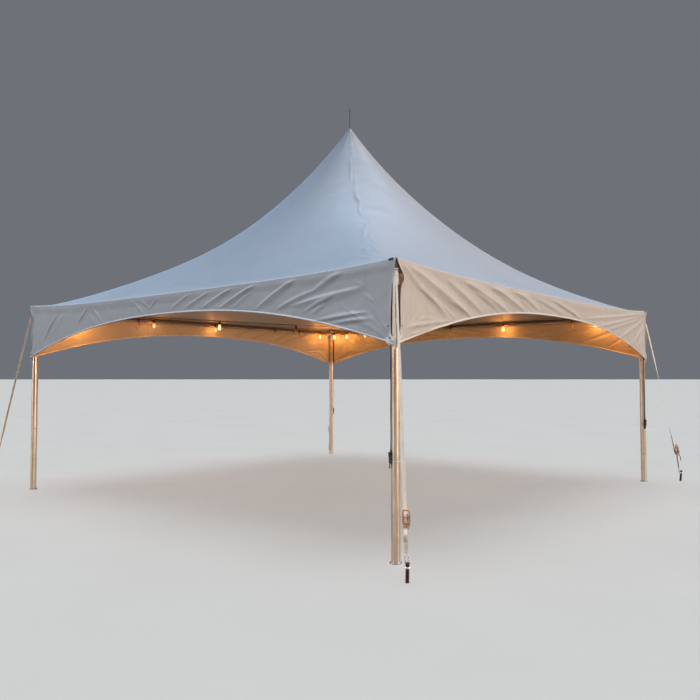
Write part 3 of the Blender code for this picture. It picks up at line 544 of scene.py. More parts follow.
def bulbMaterial(name, neck, heart, tip, strength, length=0.11):
    # amber glass, lit from its filament; the run map's second axis goes down the lamp
    material, tree, _, run = startMaterial(name)
    down = putNode(tree, "SeparateXYZ", {"Vector": run}).outputs["Y"]
    ramp = putNode(tree, "ValToRGB", {"Fac": spread(tree, down, 0.0, length)})
    stops = ramp.color_ramp.elements
    stops[0].color, stops[1].color = (*neck, 1), (*tip, 1)
    stops.new(0.55).color = (*heart, 1)
    swirl = spread(tree, noiseOf(tree, scaled(tree, run, (60, 30, 1)), 1.0, 2.0), 0.3, 0.7, 0.8, 1.1)
    return finished(material, {
        "Emission Color": blended(tree, 1.0, ramp.outputs["Color"], swirl, "MULTIPLY"),
        "Emission Strength": strength,
        "Base Color": ramp.outputs["Color"],
        "Roughness": 0.12,
        "Coat Weight": 0.6,
    })


roofVinyl = vinylMaterial("roof_vinyl", {
    "clean": (0.80, 0.81, 0.83), "shade": (0.70, 0.72, 0.75), "grime": (0.42, 0.40, 0.37),
    "streaks": 0.10, "wornEdges": 0.35, "gloss": 0.46, "crinkle": 0.10, "threads": 160.0,
})
# the valances are the roof's white vinyl painted darker: painted shade on the hanging sides; the grime and
# streaks are real dirt
shadedValanceVinyl = vinylMaterial("valance_vinyl", {
    "clean": (0.69, 0.685, 0.68), "shade": (0.60, 0.595, 0.59), "grime": (0.36, 0.32, 0.28),
    "streaks": 0.20, "wornEdges": 0.40, "gloss": 0.44, "crinkle": 0.22, "threads": 160.0,
})
# the hem binding is the same white vinyl painted lighter: a painted highlight along the hem; the grime is
# real dirt
litBindingVinyl = vinylMaterial("binding_vinyl", {
    "clean": (0.95, 0.94, 0.92), "shade": (0.88, 0.87, 0.84), "grime": (0.50, 0.44, 0.38),
    "streaks": 0.12, "wornEdges": 0.4, "gloss": 0.40, "crinkle": 0.12, "threads": 220.0,
})
# the tubes' warm gold tint is painted warm light, and their light and dark streaks round the tube are painted
# reflections; the stain spots are real
tubeMetalWithPaintedLight = {
    "light": (0.98, 0.79, 0.60), "dark": (0.27, 0.18, 0.13), "stain": (0.33, 0.27, 0.20), "stained": 0.35,
    "across": 75.0, "along": 0.9, "spots": 9.0, "gloss": 0.30, "relief": 0.35,
}
aluminium = metalMaterial("aluminium_tube", tubeMetalWithPaintedLight)
# the beams' aluminium is painted dark brown: painted shade under the roof
shadedMetal = {"light": (0.46, 0.30, 0.19), "dark": (0.15, 0.09, 0.055)}
shadedBeamAluminium = metalMaterial("aluminium_beam", {**tubeMetalWithPaintedLight, **shadedMetal})
wireRope = metalMaterial("wire_rope", {
    "light": (0.60, 0.58, 0.55), "dark": (0.22, 0.20, 0.18), "stain": (0.20, 0.11, 0.06), "stained": 0.5,
    "across": 500.0, "along": 60.0, "spots": 12.0, "gloss": 0.42, "relief": 0.6,
})
spikeMetal = metalMaterial("peak_metal", {
    "light": (0.085, 0.115, 0.16), "dark": (0.05, 0.07, 0.10), "stain": (0.14, 0.13, 0.12), "stained": 0.4,
    "across": 60.0, "along": 2.0, "spots": 30.0, "gloss": 0.62, "relief": 0.02, "metallic": 0.1,
})
copperPlate = metalMaterial("copper_plated_steel", {
    "light": (0.88, 0.50, 0.31), "dark": (0.60, 0.28, 0.15), "stain": (0.20, 0.09, 0.05), "stained": 0.65,
    "across": 60.0, "along": 20.0, "spots": 55.0, "gloss": 0.36, "relief": 0.4, "metallic": 0.75,
})
# the cast fittings and foot plates are painted darker: painted shade, for the sockets deep in the shaded
# slits; the stains are real
shadedCastMetal = galvanisedMaterial("cast_fitting", {
    "light": (0.52, 0.49, 0.45), "dark": (0.30, 0.27, 0.24), "stain": (0.16, 0.12, 0.09),
    "flakes": 85.0, "stained": 0.55, "gloss": 0.42,
})
galvanised = galvanisedMaterial("galvanised_steel", {
    "light": (0.88, 0.91, 0.95), "dark": (0.60, 0.63, 0.68), "stain": (0.35, 0.26, 0.18),
    "flakes": 160.0, "stained": 0.25, "gloss": 0.28,
})
guyWebbing = webbingMaterial("guy_webbing", {
    "clean": (0.90, 0.82, 0.71), "worn": (0.76, 0.67, 0.57), "dark": (0.54, 0.46, 0.38),
    "lines": 0.25, "gloss": 0.8,
})
whiteWebbing = webbingMaterial("white_webbing", {
    "clean": (0.93, 0.91, 0.87), "worn": (0.80, 0.77, 0.72), "dark": (0.56, 0.52, 0.47),
    "lines": 0.2, "gloss": 0.82,
})
blackWebbing = webbingMaterial("black_webbing", {
    "clean": (0.020, 0.018, 0.018), "worn": (0.045, 0.038, 0.034), "dark": (0.008, 0.007, 0.007),
    "lines": 0.4, "gloss": 0.72,
})
rustySteel = rustMaterial("rusty_steel", {
    "dark": (0.030, 0.018, 0.013), "rust": (0.105, 0.045, 0.022), "fresh": (0.26, 0.11, 0.05),
})
blackPlastic = mouldedMaterial("black_plastic", {
    "base": (0.012, 0.012, 0.013), "dusty": (0.040, 0.035, 0.032), "gloss": 0.38,
})
cordRubber = mouldedMaterial("cord_rubber", {
    "base": (0.035, 0.026, 0.020), "dusty": (0.070, 0.052, 0.038), "gloss": 0.55,
})
# each kind of lamp: its colour at the neck, the heart and the tip, and how strong it glows
bulbLooks = {
    "bright": ((1.0, 0.34, 0.05), (1.0, 0.70, 0.30), (1.0, 0.46, 0.10), 3.6),
    "soft": ((0.75, 0.22, 0.03), (1.0, 0.62, 0.24), (0.9, 0.36, 0.07), 1.7),
    "dim": ((0.20, 0.08, 0.02), (0.50, 0.24, 0.07), (0.25, 0.10, 0.03), 0.35),
}
bulbGlass = {kind: bulbMaterial("bulb_" + kind, *look) for kind, look in bulbLooks.items()}
print("materials ready")

# the roof: one sheet from the peak to a rolled edge over the valances
roofLook = {
    "columns": 100, "rings": 92,
    "reach": 1.10, "coneEnd": 0.20, "skirtShare": 0.76, "skirtPower": 1.19, "conePower": 3.7,
    "eave": 2.39675, "peak": 4.994, "tip": 0.012, "cornerRise": 0.060, "fall": math.radians(12),
    "above": 0.0042,  # middle of the sheet above the frame's underside
    "thickness": 0.0016, "lipFace": 3.0522, "roll": 0.011, "lip": 0.003,
    "hipSeam": 0.024, "hipSoft": 0.11, "hipFolds": (0.35, 0.5, 0.35, 0.72),
    "pulledFrom": 4.15,  # where the wrinkles at a corner fan out from, along the diagonal
    "flat": (7.2, 7.2),
}


def roofPlace(slope, across):
    look = roofLook
    square = np.stack([across, np.ones_like(across)], -1)
    direction = square / np.linalg.norm(square, axis=-1, keepdims=True)
    blend = smoothStep(slope, look["coneEnd"], 1.0)[..., None]
    reach = (direction * (1 - blend) + square / look["reach"] * blend) * look["reach"] * tent["half"]
    plan = direction * look["tip"] * (1 - slope[..., None]) + reach * slope[..., None]
    left = 1 - slope
    skirt = look["skirtShare"]
    share = skirt * left ** look["skirtPower"] + (1 - skirt) * left ** look["conePower"]
    rise = look["cornerRise"] * np.abs(across) ** 4 * slope**8
    height = look["eave"] + (look["peak"] - look["eave"]) * share + rise
    return np.concatenate([plan, height[..., None]], -1)


def roofEdge(across):
    # rolls from the slope down to the lip
    look = roofLook
    rise, roll, fall = look["cornerRise"] * np.abs(across) ** 4, look["roll"], look["fall"]
    middle = look["lipFace"] - roll
    start = look["eave"] - (middle + roll * math.sin(fall) - tent["half"]) * math.tan(fall)
    rows = []
    for angle in fall + (math.pi / 2 - fall) * np.arange(9) / 8:
        rows.append((middle + roll * math.sin(angle), start + roll * (math.cos(angle) - math.cos(fall))))
    foot = rows[-1][1]
    for drop in (0.25, 0.5, 0.75, 0.92, 1.0):
        rows.append((look["lipFace"] + 0.0006 * math.sin(drop * math.pi), foot - look["lip"] * drop))
    return np.array([[(u * out, out, height + r) for u, r in zip(across, rise)] for out, height in rows])


def roofLift(x, y, radius, outer, offHip):
    # how far the cloth lies above its plain curve
    look = roofLook
    angle = np.arctan2(y, x)
    free = smoothStep(radius, 0.05, 0.4) * (1 - smoothStep(outer, 2.9, 3.03))
    lift = 0.0012 * (1 - smoothStep(offHip, look["hipSeam"] - 0.004, look["hipSeam"])) * free
    rounded = np.sqrt(offHip**2 + look["hipSoft"] ** 2) - offHip
    lift -= 0.30 * rounded * smoothStep(radius, 0.9, 2.0) * free
    lift += 0.005 * softNoise(11, x * 0.8, y * 0.8) * free
    gathers = 0.0016 * np.cos(angle * 22 + 2 * np.sin(angle * 3))  # small pleats round the peak
    lift += gathers * np.exp(-((radius / 0.32) ** 2)) * smoothStep(radius, 0.03, 0.1)
    lift += 0.0014 * (1 - smoothStep(radius, 0.150, 0.156)) * smoothStep(radius, 0.012, 0.03)
    for quarter in range(4):
        dice = random.Random(40 + quarter)
        turn = quarter * math.pi / 2 + math.pi / 4
        along = x * math.cos(turn) + y * math.sin(turn)
        beside = -x * math.sin(turn) + y * math.cos(turn)
        near = free * (along > 0) * look["hipFolds"][quarter]
        for number in range(15):  # short crescents beside the hip
            start = 0.5 + 3.3 * (number + dice.uniform(-0.3, 0.3)) / 15
            length = dice.uniform(0.22, 0.5)
            off = dice.choice((-1, 1)) * dice.uniform(0.01, 0.04 + 0.022 * start)
            slant = dice.uniform(-0.16, 0.16) * length
            head, foot, size = (off - slant, start), (off + slant, start + length), dice.uniform(0.005, 0.011)
            shape = dice.uniform(0.015, 0.026), dice.uniform(-0.06, 0.06), dice.choice((0.6, 1.6))
            lift += near * ridge(beside, along, head, foot, size, *shape)
        for number in range(9):  # fans where the corner pulls
            lean = (number - 4) * 0.11 + dice.uniform(-0.03, 0.03)
            reach = dice.uniform(0.5, 1.1)
            foot = (math.sin(lean) * 0.12, look["pulledFrom"] - 0.12)
            head = (math.sin(lean) * reach, look["pulledFrom"] - math.cos(lean) * reach)
            lift += near * ridge(beside, along, head, foot, dice.uniform(0.003, 0.006), 0.02)
    return lift


def roofSheet():
    look = roofLook
    columns, rings = look["columns"], look["rings"]
    steps = np.linspace(1, -1, columns + 1)[:-1]
    across = np.sign(steps) * (1 - (1 - np.abs(steps)) ** 1.55)
    slope = np.linspace(0, 1, rings) ** 1.22
    panel = np.concatenate([roofPlace(*np.meshgrid(slope, across, indexing="ij")), roofEdge(across)])
    plain = np.concatenate([panel @ sideArray(quarter) for quarter in range(4)], 1)
    normal = np.cross(np.gradient(plain, axis=0), np.roll(plain, -1, 1) - np.roll(plain, 1, 1))
    normal /= np.linalg.norm(normal, axis=-1, keepdims=True)
    normal *= np.where(normal[:, :, 2:] < -0.2, -1, 1)
    x, y = plain[..., 0], plain[..., 1]
    radius, outer = np.hypot(x, y), np.maximum(np.abs(x), np.abs(y))
    offHip = np.abs(np.abs(x) - np.abs(y)) / math.sqrt(2)
    points = plain + normal * (look["above"] + roofLift(x, y, radius, outer, offHip))[..., None]
    # the lip keeps its place
    edgeRows = len(plain) - rings
    share = np.where(np.arange(edgeRows) > 0, 1.0, 0.5)[:, None, None]
    points[rings:] = points[rings:] * (1 - share) + (plain[rings:] + (0, 0, look["above"])) * share
    boot = points[:1] * (0.93, 0.93, 1.0) + (0, 0, 0.010)
    points = np.concatenate([boot, points])
    wear = 0.25 * np.exp(-((offHip / 0.06) ** 2)) + 0.12 * smoothStep(outer, 2.98, 3.05)
    wear += 0.7 * np.exp(-((radius / 0.25) ** 2)) + 0.10
    wear = np.concatenate([wear[:1], wear])
    sideways = np.append(across, -1.0) * tent["half"] * 1.02
    widths = np.concatenate([[0], slope, np.ones(edgeRows)])[:, None] * sideways
    uv = np.stack([widths, np.repeat(travelled(points[:, 0])[:, None], columns + 1, 1)], -1)
    cuts = [np.arange(start, start + columns + 1) % (4 * columns) for start in range(0, 4 * columns, columns)]
    bits = [gridBit(points[:, cut], uv) for cut in cuts]
    values = {"wear": np.concatenate([wear[:, cut].ravel() for cut in cuts])}
    piece = makePiece("roof_sheet", bits, [roofVinyl], ["canopy_roof"], 60, values)
    area = round(thickened(piece, look["thickness"]), 2)
    print("roof sheet:", len(piece.data.polygons), "faces,", area, "square metres")


roofSheet()

# the valances: one arched sheet to a side, with its folds, seen from outside
valanceLook = {
    "columns": 424, "rows": 44, "thickness": 0.0016,
    "middle": 3.0468, "tucked": 0.0078, "lap": 0.0132,
    "eave": 2.3861, "underEave": 0.003,
    "hemBelowMiddle": 0.19, "hemBelowCorner": 0.605, "hemPower": 2.3, "edgeBand": 0.018,
    "foldSize": {"back": 0.0015, "left": 0.0018, "front": 0.0018, "right": 0.0015},
    "tied": (2.985, 0.655),  # where the fans at a corner start, across and below the eave
    "flat": (6.05, 0.70),
}
# each fold: place across and depth below the eave at both ends, height, reach above and below in mm
frontFolds = [
    (0.39, 0.03, 0.03, 0.18, 5, 17, 50), (0.72, 0.03, 0.27, 0.19, 6, 17, 55),
    (1.10, 0.01, 0.56, 0.20, 7, 18, 60), (1.44, 0.00, 0.83, 0.22, 8, 18, 60),
    (1.35, 0.08, 1.06, 0.22, 3, 14, 40), (1.95, 0.00, 1.37, 0.26, 9, 19, 80),
    (2.51, 0.01, 2.10, 0.17, 8, 40, 60), (2.16, 0.14, 1.66, 0.28, 8, 26, 60),
    (2.72, 0.18, 1.85, 0.26, 10, 22, 90), (2.40, 0.21, 2.01, 0.33, 7, 22, 45),
    (2.30, 0.28, 2.10, 0.36, 6, 20, 40), (2.78, 0.40, 2.14, 0.42, 10, 24, 34),
    (2.82, 0.46, 2.34, 0.46, 9, 22, 28), (2.90, 0.50, 2.98, 0.62, 6, 16, 20),
    (2.82, 0.33, 2.70, 0.24, 5, 14, 20), (2.74, 0.20, 2.60, 0.12, 3, 14, 20),
    (-1.61, 0.05, -1.84, 0.24, 7, 18, 40), (-1.50, 0.06, -1.25, 0.28, 7, 22, 34),
    (-1.62, 0.12, -1.40, 0.30, 4, 18, 30), (-0.65, 0.04, -0.41, 0.22, 6, 20, 34),
    (-0.51, 0.03, -0.31, 0.15, 4, 16, 30), (-0.16, 0.03, -0.33, 0.15, 4, 16, 30),
    (-2.34, 0.10, -2.68, 0.44, 8, 20, 40), (-2.18, 0.10, -2.32, 0.26, 4, 18, 30),
    (-1.20, 0.05, -1.06, 0.22, 4, 18, 30), (-0.95, 0.05, -0.86, 0.18, 3, 16, 30),
]
rightFolds = [
    (-3.02, 0.02, -2.30, 0.41, 9, 130, 60), (-2.79, 0.17, -2.24, 0.41, 9, 40, 18),
    (-2.62, 0.22, -2.12, 0.41, 6, 36, 20), (-2.86, 0.03, -1.90, 0.35, 20, 90, 95),
    (-2.30, 0.24, -1.86, 0.36, 7, 60, 26), (-2.30, 0.06, -1.66, 0.31, 13, 80, 60),
    (-2.02, 0.03, -1.12, 0.26, 15, 80, 62), (-1.80, 0.12, -1.32, 0.27, 7, 50, 34),
    (-1.57, 0.01, -0.77, 0.22, 14, 80, 60), (-1.06, 0.02, -0.44, 0.18, 11, 80, 48),
    (-0.90, 0.10, -0.62, 0.20, 5, 30, 22), (-0.51, 0.06, 0.23, 0.20, 8, 60, 36),
    (-0.13, 0.04, 0.75, 0.22, 10, 60, 30), (0.30, 0.06, 0.52, 0.19, 4, 26, 22),
    (3.02, 0.02, 0.75, 0.19, 12, 26, 60), (2.98, 0.05, 1.12, 0.27, 14, 28, 60),
    (2.92, 0.09, 1.45, 0.30, 12, 28, 55), (2.97, 0.11, 1.90, 0.40, 13, 30, 50),
    (3.00, 0.18, 2.42, 0.48, 11, 28, 46), (2.98, 0.30, 2.66, 0.54, 8, 26, 36),
    (-2.96, 0.55, -2.20, 0.41, 12, 26, 34), (-2.93, 0.62, -2.24, 0.45, 7, 18, 22),
    (-2.80, 0.46, -2.40, 0.42, 5, 20, 26),
]
# where a valance ends at the slits by its left and its right corner, by height
endHeights = (1.70, 1.79, 1.815, 1.90, 2.05, 2.236, 2.276, 2.336, 2.386, 2.426, 2.47)
leftEnds = (3.030, 3.028, 3.018, 3.002, 2.998, 2.988, 2.976, 2.992, 3.022, 3.044, 3.046)
rightEnds = (3.006, 3.004, 2.996, 2.988, 2.989, 3.004, 3.012, 3.024, 3.034, 3.044, 3.046)


def reflected(folds, seed):
    # the same cloth seen from the hidden side, never quite the same
    dice = random.Random(seed)
    result = []
    for a, h, b, k, size, above, below in folds:
        move = dice.uniform(-0.12, 0.12)
        size, above = size * dice.uniform(0.8, 1.1), above * dice.uniform(0.9, 1.2)
        result.append((-a - move, h, -b - move, k, size, above, below))
    return result


sideFolds = {"front": frontFolds, "right": rightFolds}
sideFolds.update(back=reflected(rightFolds, 3), left=reflected(frontFolds, 5))


def shareOut(across):
    return np.clip(np.abs(across) / tent["edge"], 0, 1)


def eaveLine(across):
    return valanceLook["eave"] + roofLook["cornerRise"] * shareOut(across) ** 4


def hemLine(across):
    middle, corner = valanceLook["hemBelowMiddle"], valanceLook["hemBelowCorner"]
    return tent["beamHeight"] - middle - (corner - middle) * shareOut(across) ** valanceLook["hemPower"]


def sideEnd(height, across):
    left, right = (np.interp(height, endHeights, ends) for ends in (leftEnds, rightEnds))
    return np.where(across < 0, left, right)


def foldHeight(side, across, depth, height):
    look, seed = valanceLook, sideNames.index(side)
    outward = np.zeros_like(across)
    for a, h, b, k, size, above, below in sideFolds[side]:
        size = size * look["foldSize"][side]
        outward += crease(across, depth, (a, h), (b, k), size, above * 0.001, below * 0.001)
    dice = random.Random(90 + seed)
    tied, low = look["tied"]
    for end in (-1, 1):  # fans that pull up from the tied corners, hardest at the back left
        pull = 3.4 if (side, end) in (("back", 1), ("left", -1)) else 1.0
        for number in range(7):
            lean = math.radians(14 + 9.5 * number + dice.uniform(-3, 3))
            length = dice.uniform(0.38, 0.62) * (0.75 + 0.09 * number)
            head = (end * (tied - math.sin(lean) * length), low - math.cos(lean) * length * 0.92)
            size = pull * dice.uniform(0.002, 0.006)
            outward += crease(across, depth, head, (end * tied, low), size, 0.018, dice.uniform(0.018, 0.040))
    outward += 0.0035 * (softNoise(21 + seed, across * 1.3, height * 2.5) + 0.8)
    outward += 0.0012 * softNoise(31 + seed, across * 5.0, height * 9.0)
    outward *= smoothStep(depth, 0.008, 0.050)
    end = sideEnd(height, across)
    fromEnd = end - np.abs(across)
    outward *= 0.35 + 0.65 * smoothStep(fromEnd, 0.0, 0.10)
    outward += 0.0016 * (1 - smoothStep(fromEnd, look["edgeBand"] - 0.003, look["edgeBand"]))
    outward += look["tucked"] * (1 - smoothStep(depth, 0.020, 0.110))
    curl = np.clip(1 - (end + across) / 0.040, 0, 1) ** 1.5
    rolled = 0.026 if side in ("right", "left") else 0.012
    outward += rolled * curl * np.exp(-(((depth - 0.14) / 0.07) ** 2))
    return outward + 0.008 * curl * np.exp(-(((depth - 0.52) / 0.10) ** 2))


def valanceSurface(side, share, drop):
    # share runs from -1 to 1 along the side, drop from 0 at the eave to 1 at the hem
    # and below 0 over the rolled edge
    look, span = valanceLook, share * tent["edge"]
    top, low = eaveLine(span) - look["underEave"], hemLine(span)
    height = top + (low - top) * np.maximum(drop, 0)
    across = share * sideEnd(height, share)
    out = look["middle"] + foldHeight(side, across, eaveLine(across) - height, height)
    bend = np.clip(-drop, 0, 1) * math.radians(62)
    out = np.where(drop < 0, out - look["lap"] * (1 - np.cos(bend)), out)
    height = np.where(drop < 0, height + look["lap"] * np.sin(bend), height)
    return across, out, height


hemLook = {"width": 0.017, "rope": 0.0075, "bead": 0.0036, "sections": 420}


def hemBinding(side, quarter):
    # a vinyl tape folded over the rope in the hem, and a welded bead down both ends
    wide, rope = hemLook["width"], hemLook["rope"]
    share = np.linspace(-1, 1, hemLook["sections"])
    span = share * tent["edge"]
    reach, top = hemLine(span), eaveLine(span) - valanceLook["underEave"]
    section = [(-wide, 0.0018), (-wide * 0.97, 0.0030), (-wide * 0.6, 0.0052)]
    for angle in np.radians(70 - 25 * np.arange(11)):
        section.append((-0.006 - rope * math.sin(angle), rope * math.cos(angle)))
    section += [(-wide * 0.6, -0.0045), (-wide, -0.0018)]
    rows = []
    for down, out in section:
        across, middle, _ = valanceSurface(side, share, np.clip((reach - down - top) / (reach - top), 0, 1))
        rows.append(np.stack([-across, middle + out, reach - down], -1))
    uv = np.stack(np.meshgrid(span, np.linspace(0, 0.07, len(section) + 1)), -1)
    bits = [gridBit(np.array(rows), uv, wrapRows=True)]
    for start in (0, len(share) - 1):
        capBit(bits[0], [row * len(share) + start for row in range(len(section))])
    for end in (-1.0, 1.0):
        across, out, height = valanceSurface(side, np.full(48, end), np.linspace(0, 1, 48))
        path = np.stack([-across, out + 0.0012, height], -1)
        bits.append(rodBit(path, hemLook["bead"], 8, side=(0, 1, 0)))
    worn = np.full(sum(len(bit["points"]) for bit in bits), 0.3)
    bits = movedBits(bits, sideMatrix(quarter))
    return makePiece("hem_binding_" + side, bits, [litBindingVinyl], (), 50, {"wear": worn}, tidy=False)


eyeletLook = {"hole": 0.0065, "rim": 0.0028, "fromEnd": 0.024, "heights": (1.80, 1.90)}


def eyeletRings(side, quarter):
    bits, angle = [], fullTurn(28)
    hole, rim = eyeletLook["hole"], eyeletLook["rim"]
    disc = turnedBit([(0, 0), (hole, 0), (hole, 0.0006), (0, 0.0006)], 20, turned(-math.pi / 2, "X"), 1)
    ring = np.stack([(hole + rim) * np.cos(angle), np.full(28, 0.0012), (hole + rim) * np.sin(angle)], -1)
    pair = [rodBit(ring, rim, 10, (1, 0.55), side=(0, 1, 0), closed=True)]
    pair.append(movedBit(disc, shifted(0, 0.0009, 0)))
    for end in (-1, 1):
        for height in eyeletLook["heights"]:
            across = end * (float(sideEnd(height, end)) - eyeletLook["fromEnd"])
            a, h = np.array([across]), np.array([height])
            out = valanceLook["middle"] + foldHeight(side, a, eaveLine(a) - h, h)[0]
            bits += movedBits(pair, sideMatrix(quarter) @ shifted(-across, out, height))
    return makePiece("eyelets_" + side, bits, [galvanised, blackPlastic])


def valanceSheets():
    look = valanceLook
    steps = np.linspace(-1, 1, look["columns"])
    share = np.sign(steps) * (1 - (1 - np.abs(steps)) ** 1.12)
    drop = np.concatenate([np.linspace(-1, 0, 7)[:-1], np.linspace(0, 1, look["rows"])])
    drops, shares = np.meshgrid(drop, share, indexing="ij")
    for quarter, side in enumerate(sideNames):
        across, out, height = valanceSurface(side, shares, drops)
        points = np.stack([-across, out, height], -1) @ sideArray(quarter)
        worn = 0.18 + 0.75 * np.exp(-(((height - hemLine(across)) / 0.06) ** 2))
        worn += 0.6 * np.exp(-(((3.03 - np.abs(across)) / 0.10) ** 2))
        bits, values = [gridBit(points, np.stack([across, height], -1))], {"wear": worn}
        name, node = "valance_sheet_" + side, ["valance_" + side]
        piece = makePiece(name, bits, [shadedValanceVinyl], node, 60, values, tidy=False)
        area = round(thickened(piece, look["thickness"]), 3)
        trim = [hemBinding(side, quarter), eyeletRings(side, quarter)]
        print("valance", side, area, "square metres")


valanceSheets()
print("valances hung")

# aluminium tubes: legs, eave beams and mast
tubeLook = {
    "sides": 56, "wall": 0.0032, "footRadius": 0.0501, "footThick": 0.010, "legTop": 2.4383,
    "beamEnd": 2.938, "sleeve": 0.03505, "sleeveHalf": 0.15, "splices": (-0.11, -0.045, 0.045, 0.11),
}


def weldBead(radius, height, size, material=0):
    # a bead with the small scallops of a hand weld
    path, ripple = circlePath(radius, 72, height), 1 + 0.10 * np.cos(fullTurn(72) * 24)
    return rodBit(path, size, 8, side=(0, 0, 1), closed=True, scale=ripple, material=material)


def makeLegs():
    radius, inner = tent["legRadius"], tent["legRadius"] - tubeLook["wall"]
    foot, thick, top = tubeLook["footRadius"], tubeLook["footThick"], tubeLook["legTop"]
    base = [(0, 0), (foot, 0), (foot, thick), (radius - 0.001, thick)]
    tube = [(radius, 0.009), (radius, 0.6), (radius, 1.2), (radius, top), (inner, top), (inner, 0.012)]
    bits = [turnedBit(base, tubeLook["sides"], material=1, ease=0.0015, steps=3)]
    bits.append(turnedBit(tube, tubeLook["sides"], ease=0.0008))
    bits.append(weldBead(radius + 0.0020, thick + 0.0022, 0.0034, 1))
    atCorners("leg_tube_", bits, [aluminium, shadedCastMetal], "leg_")


def alongX(bit):
    return movedBit(bit, turned(math.pi / 2, "Y"))


def makeBeams():
    look = tubeLook
    outer, inner, end = tent["beamRadius"], tent["beamRadius"] - look["wall"], look["beamEnd"]
    tube = [(outer, 1.0), (outer, 2.0), (outer, end), (inner, end), (inner, 0.0002), (outer, 0.0002)]
    sleeve = [(outer + 0.0003, -1), (look["sleeve"], -1), (look["sleeve"], 1), (outer, 1)]
    sleeve = [(wide, place * look["sleeveHalf"]) for wide, place in sleeve]
    plain = [alongX(turnedBit([tube[-1], *tube], look["sides"], ease=0.0008, steps=1))]
    spliced = plain + [alongX(turnedBit(sleeve, look["sides"], ease=0.001))]
    for place in look["splices"]:  # bolts with their nuts
        for way in (1, -1):
            spliced += boltBit((place, 0, way * 0.0345), (0, 0, way), 0.0085, 1)
    for quarter, side in enumerate(sideNames):
        place = sideMatrix(quarter) @ shifted(0, tent["half"], tent["beamHeight"])
        far, near = sideNames[quarter - 1], sideNames[(quarter + 1) % 4]
        for end, bits, turn in ((far, spliced, 0), (near, plain, math.pi)):
            name, node = f"beam_tube_{side}_{end}", [f"eave_beam_{side}_{end}"]
            placed = movedBits(bits, place @ turned(turn))
            makePiece(name, placed, [shadedBeamAluminium, galvanised], node)


mastLook = {
    "low": 2.1653, "top": 4.939, "radius": 0.030, "wall": 0.003, "bore": 0.0303,
    "hub": 0.0453, "hubLow": 2.155, "hubTop": 2.275, "bolts": 2.252,
    "skirt": 0.0343, "skirtTall": 0.050, "spikeTop": 5.300, "spike": 0.008,
}


def lugBits(reach, root, weld, size, radius=0.016):
    # a cable's lug, with a weld down each side of its root
    angles = np.linspace(-math.pi / 2, math.pi / 2, 14)
    arc = [(reach + radius * math.cos(a), radius * math.sin(a)) for a in angles]
    bits = [plateBit([(root, -radius), (reach, -radius), *arc[1:-1], (reach, radius), (root, radius)], 0.010)]
    for edge in (-1, 1):
        bits.append(rodBit([(weld, edge * 0.0055, z) for z in np.linspace(-radius, radius, 9)], size, 8))
    return bits


def makeMast():
    look = mastLook
    outer, inner, low, top = look["radius"], look["radius"] - look["wall"], look["low"], look["top"]
    tube = [(inner, low), (outer, low), (outer, 3.4), (outer, top), (inner, top), (inner, low)]
    makePiece("mast_pole", [turnedBit(tube, 48, ease=0.0008)], [aluminium], ["mast_tube"])

    bore, rim, low, top = look["bore"], look["hub"], look["hubLow"], look["hubTop"]
    hub = [(0, low), (rim, low), (rim, top), (bore, top), (bore, low + 0.045)]
    bits = [turnedBit(hub, 56, ease=0.0025, steps=3), weldBead(rim + 0.0002, low + 0.005, 0.0015)]
    lug = movedBits(lugBits(tent["hubReach"], 0.040, rim + 0.0002, 0.0022), shifted(0, 0, tent["hubHeight"]))
    bolt = boltBit((rim - 0.0005, 0, look["bolts"]), (1, 0, 0), 0.009, 1)
    for quarter in range(4):
        bits += movedBits(movedBits(lug, turned(math.pi / 4)) + bolt, sideMatrix(quarter))
    makePiece("mast_hub", bits, [shadedCastMetal, galvanised], ["mast_base"])

    low, spike, tip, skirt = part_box("mast_cap")[0].z, look["spike"], look["spikeTop"], look["skirt"]
    base = low + look["skirtTall"]
    cap = [(bore, low), (skirt, low), (skirt, base - 0.011), (rim, base), (rim, base + 0.004)]
    cap += [((rim + spike) / 2, base + 0.022), (spike, base + 0.029), (spike, tip - 0.100)]
    cap += [(spike, tip - 0.012), (0.003, tip), (0, tip)]
    bits = [turnedBit(cap, 48, ease=0.004, steps=4)]
    bits.append(turnedBit([(0, base - 0.004), (skirt, base - 0.004)], 48))
    makePiece("peak_cap", bits, [spikeMetal], ["mast_cap"])


fittingLook = {
    "low": 2.20, "top": 2.4446, "armStart": 0.030, "armEnd": 0.165, "armBolts": (0.098, 0.142),
    "lug": 0.105, "bolts": 2.245, "eyeHalf": 0.0165,
}


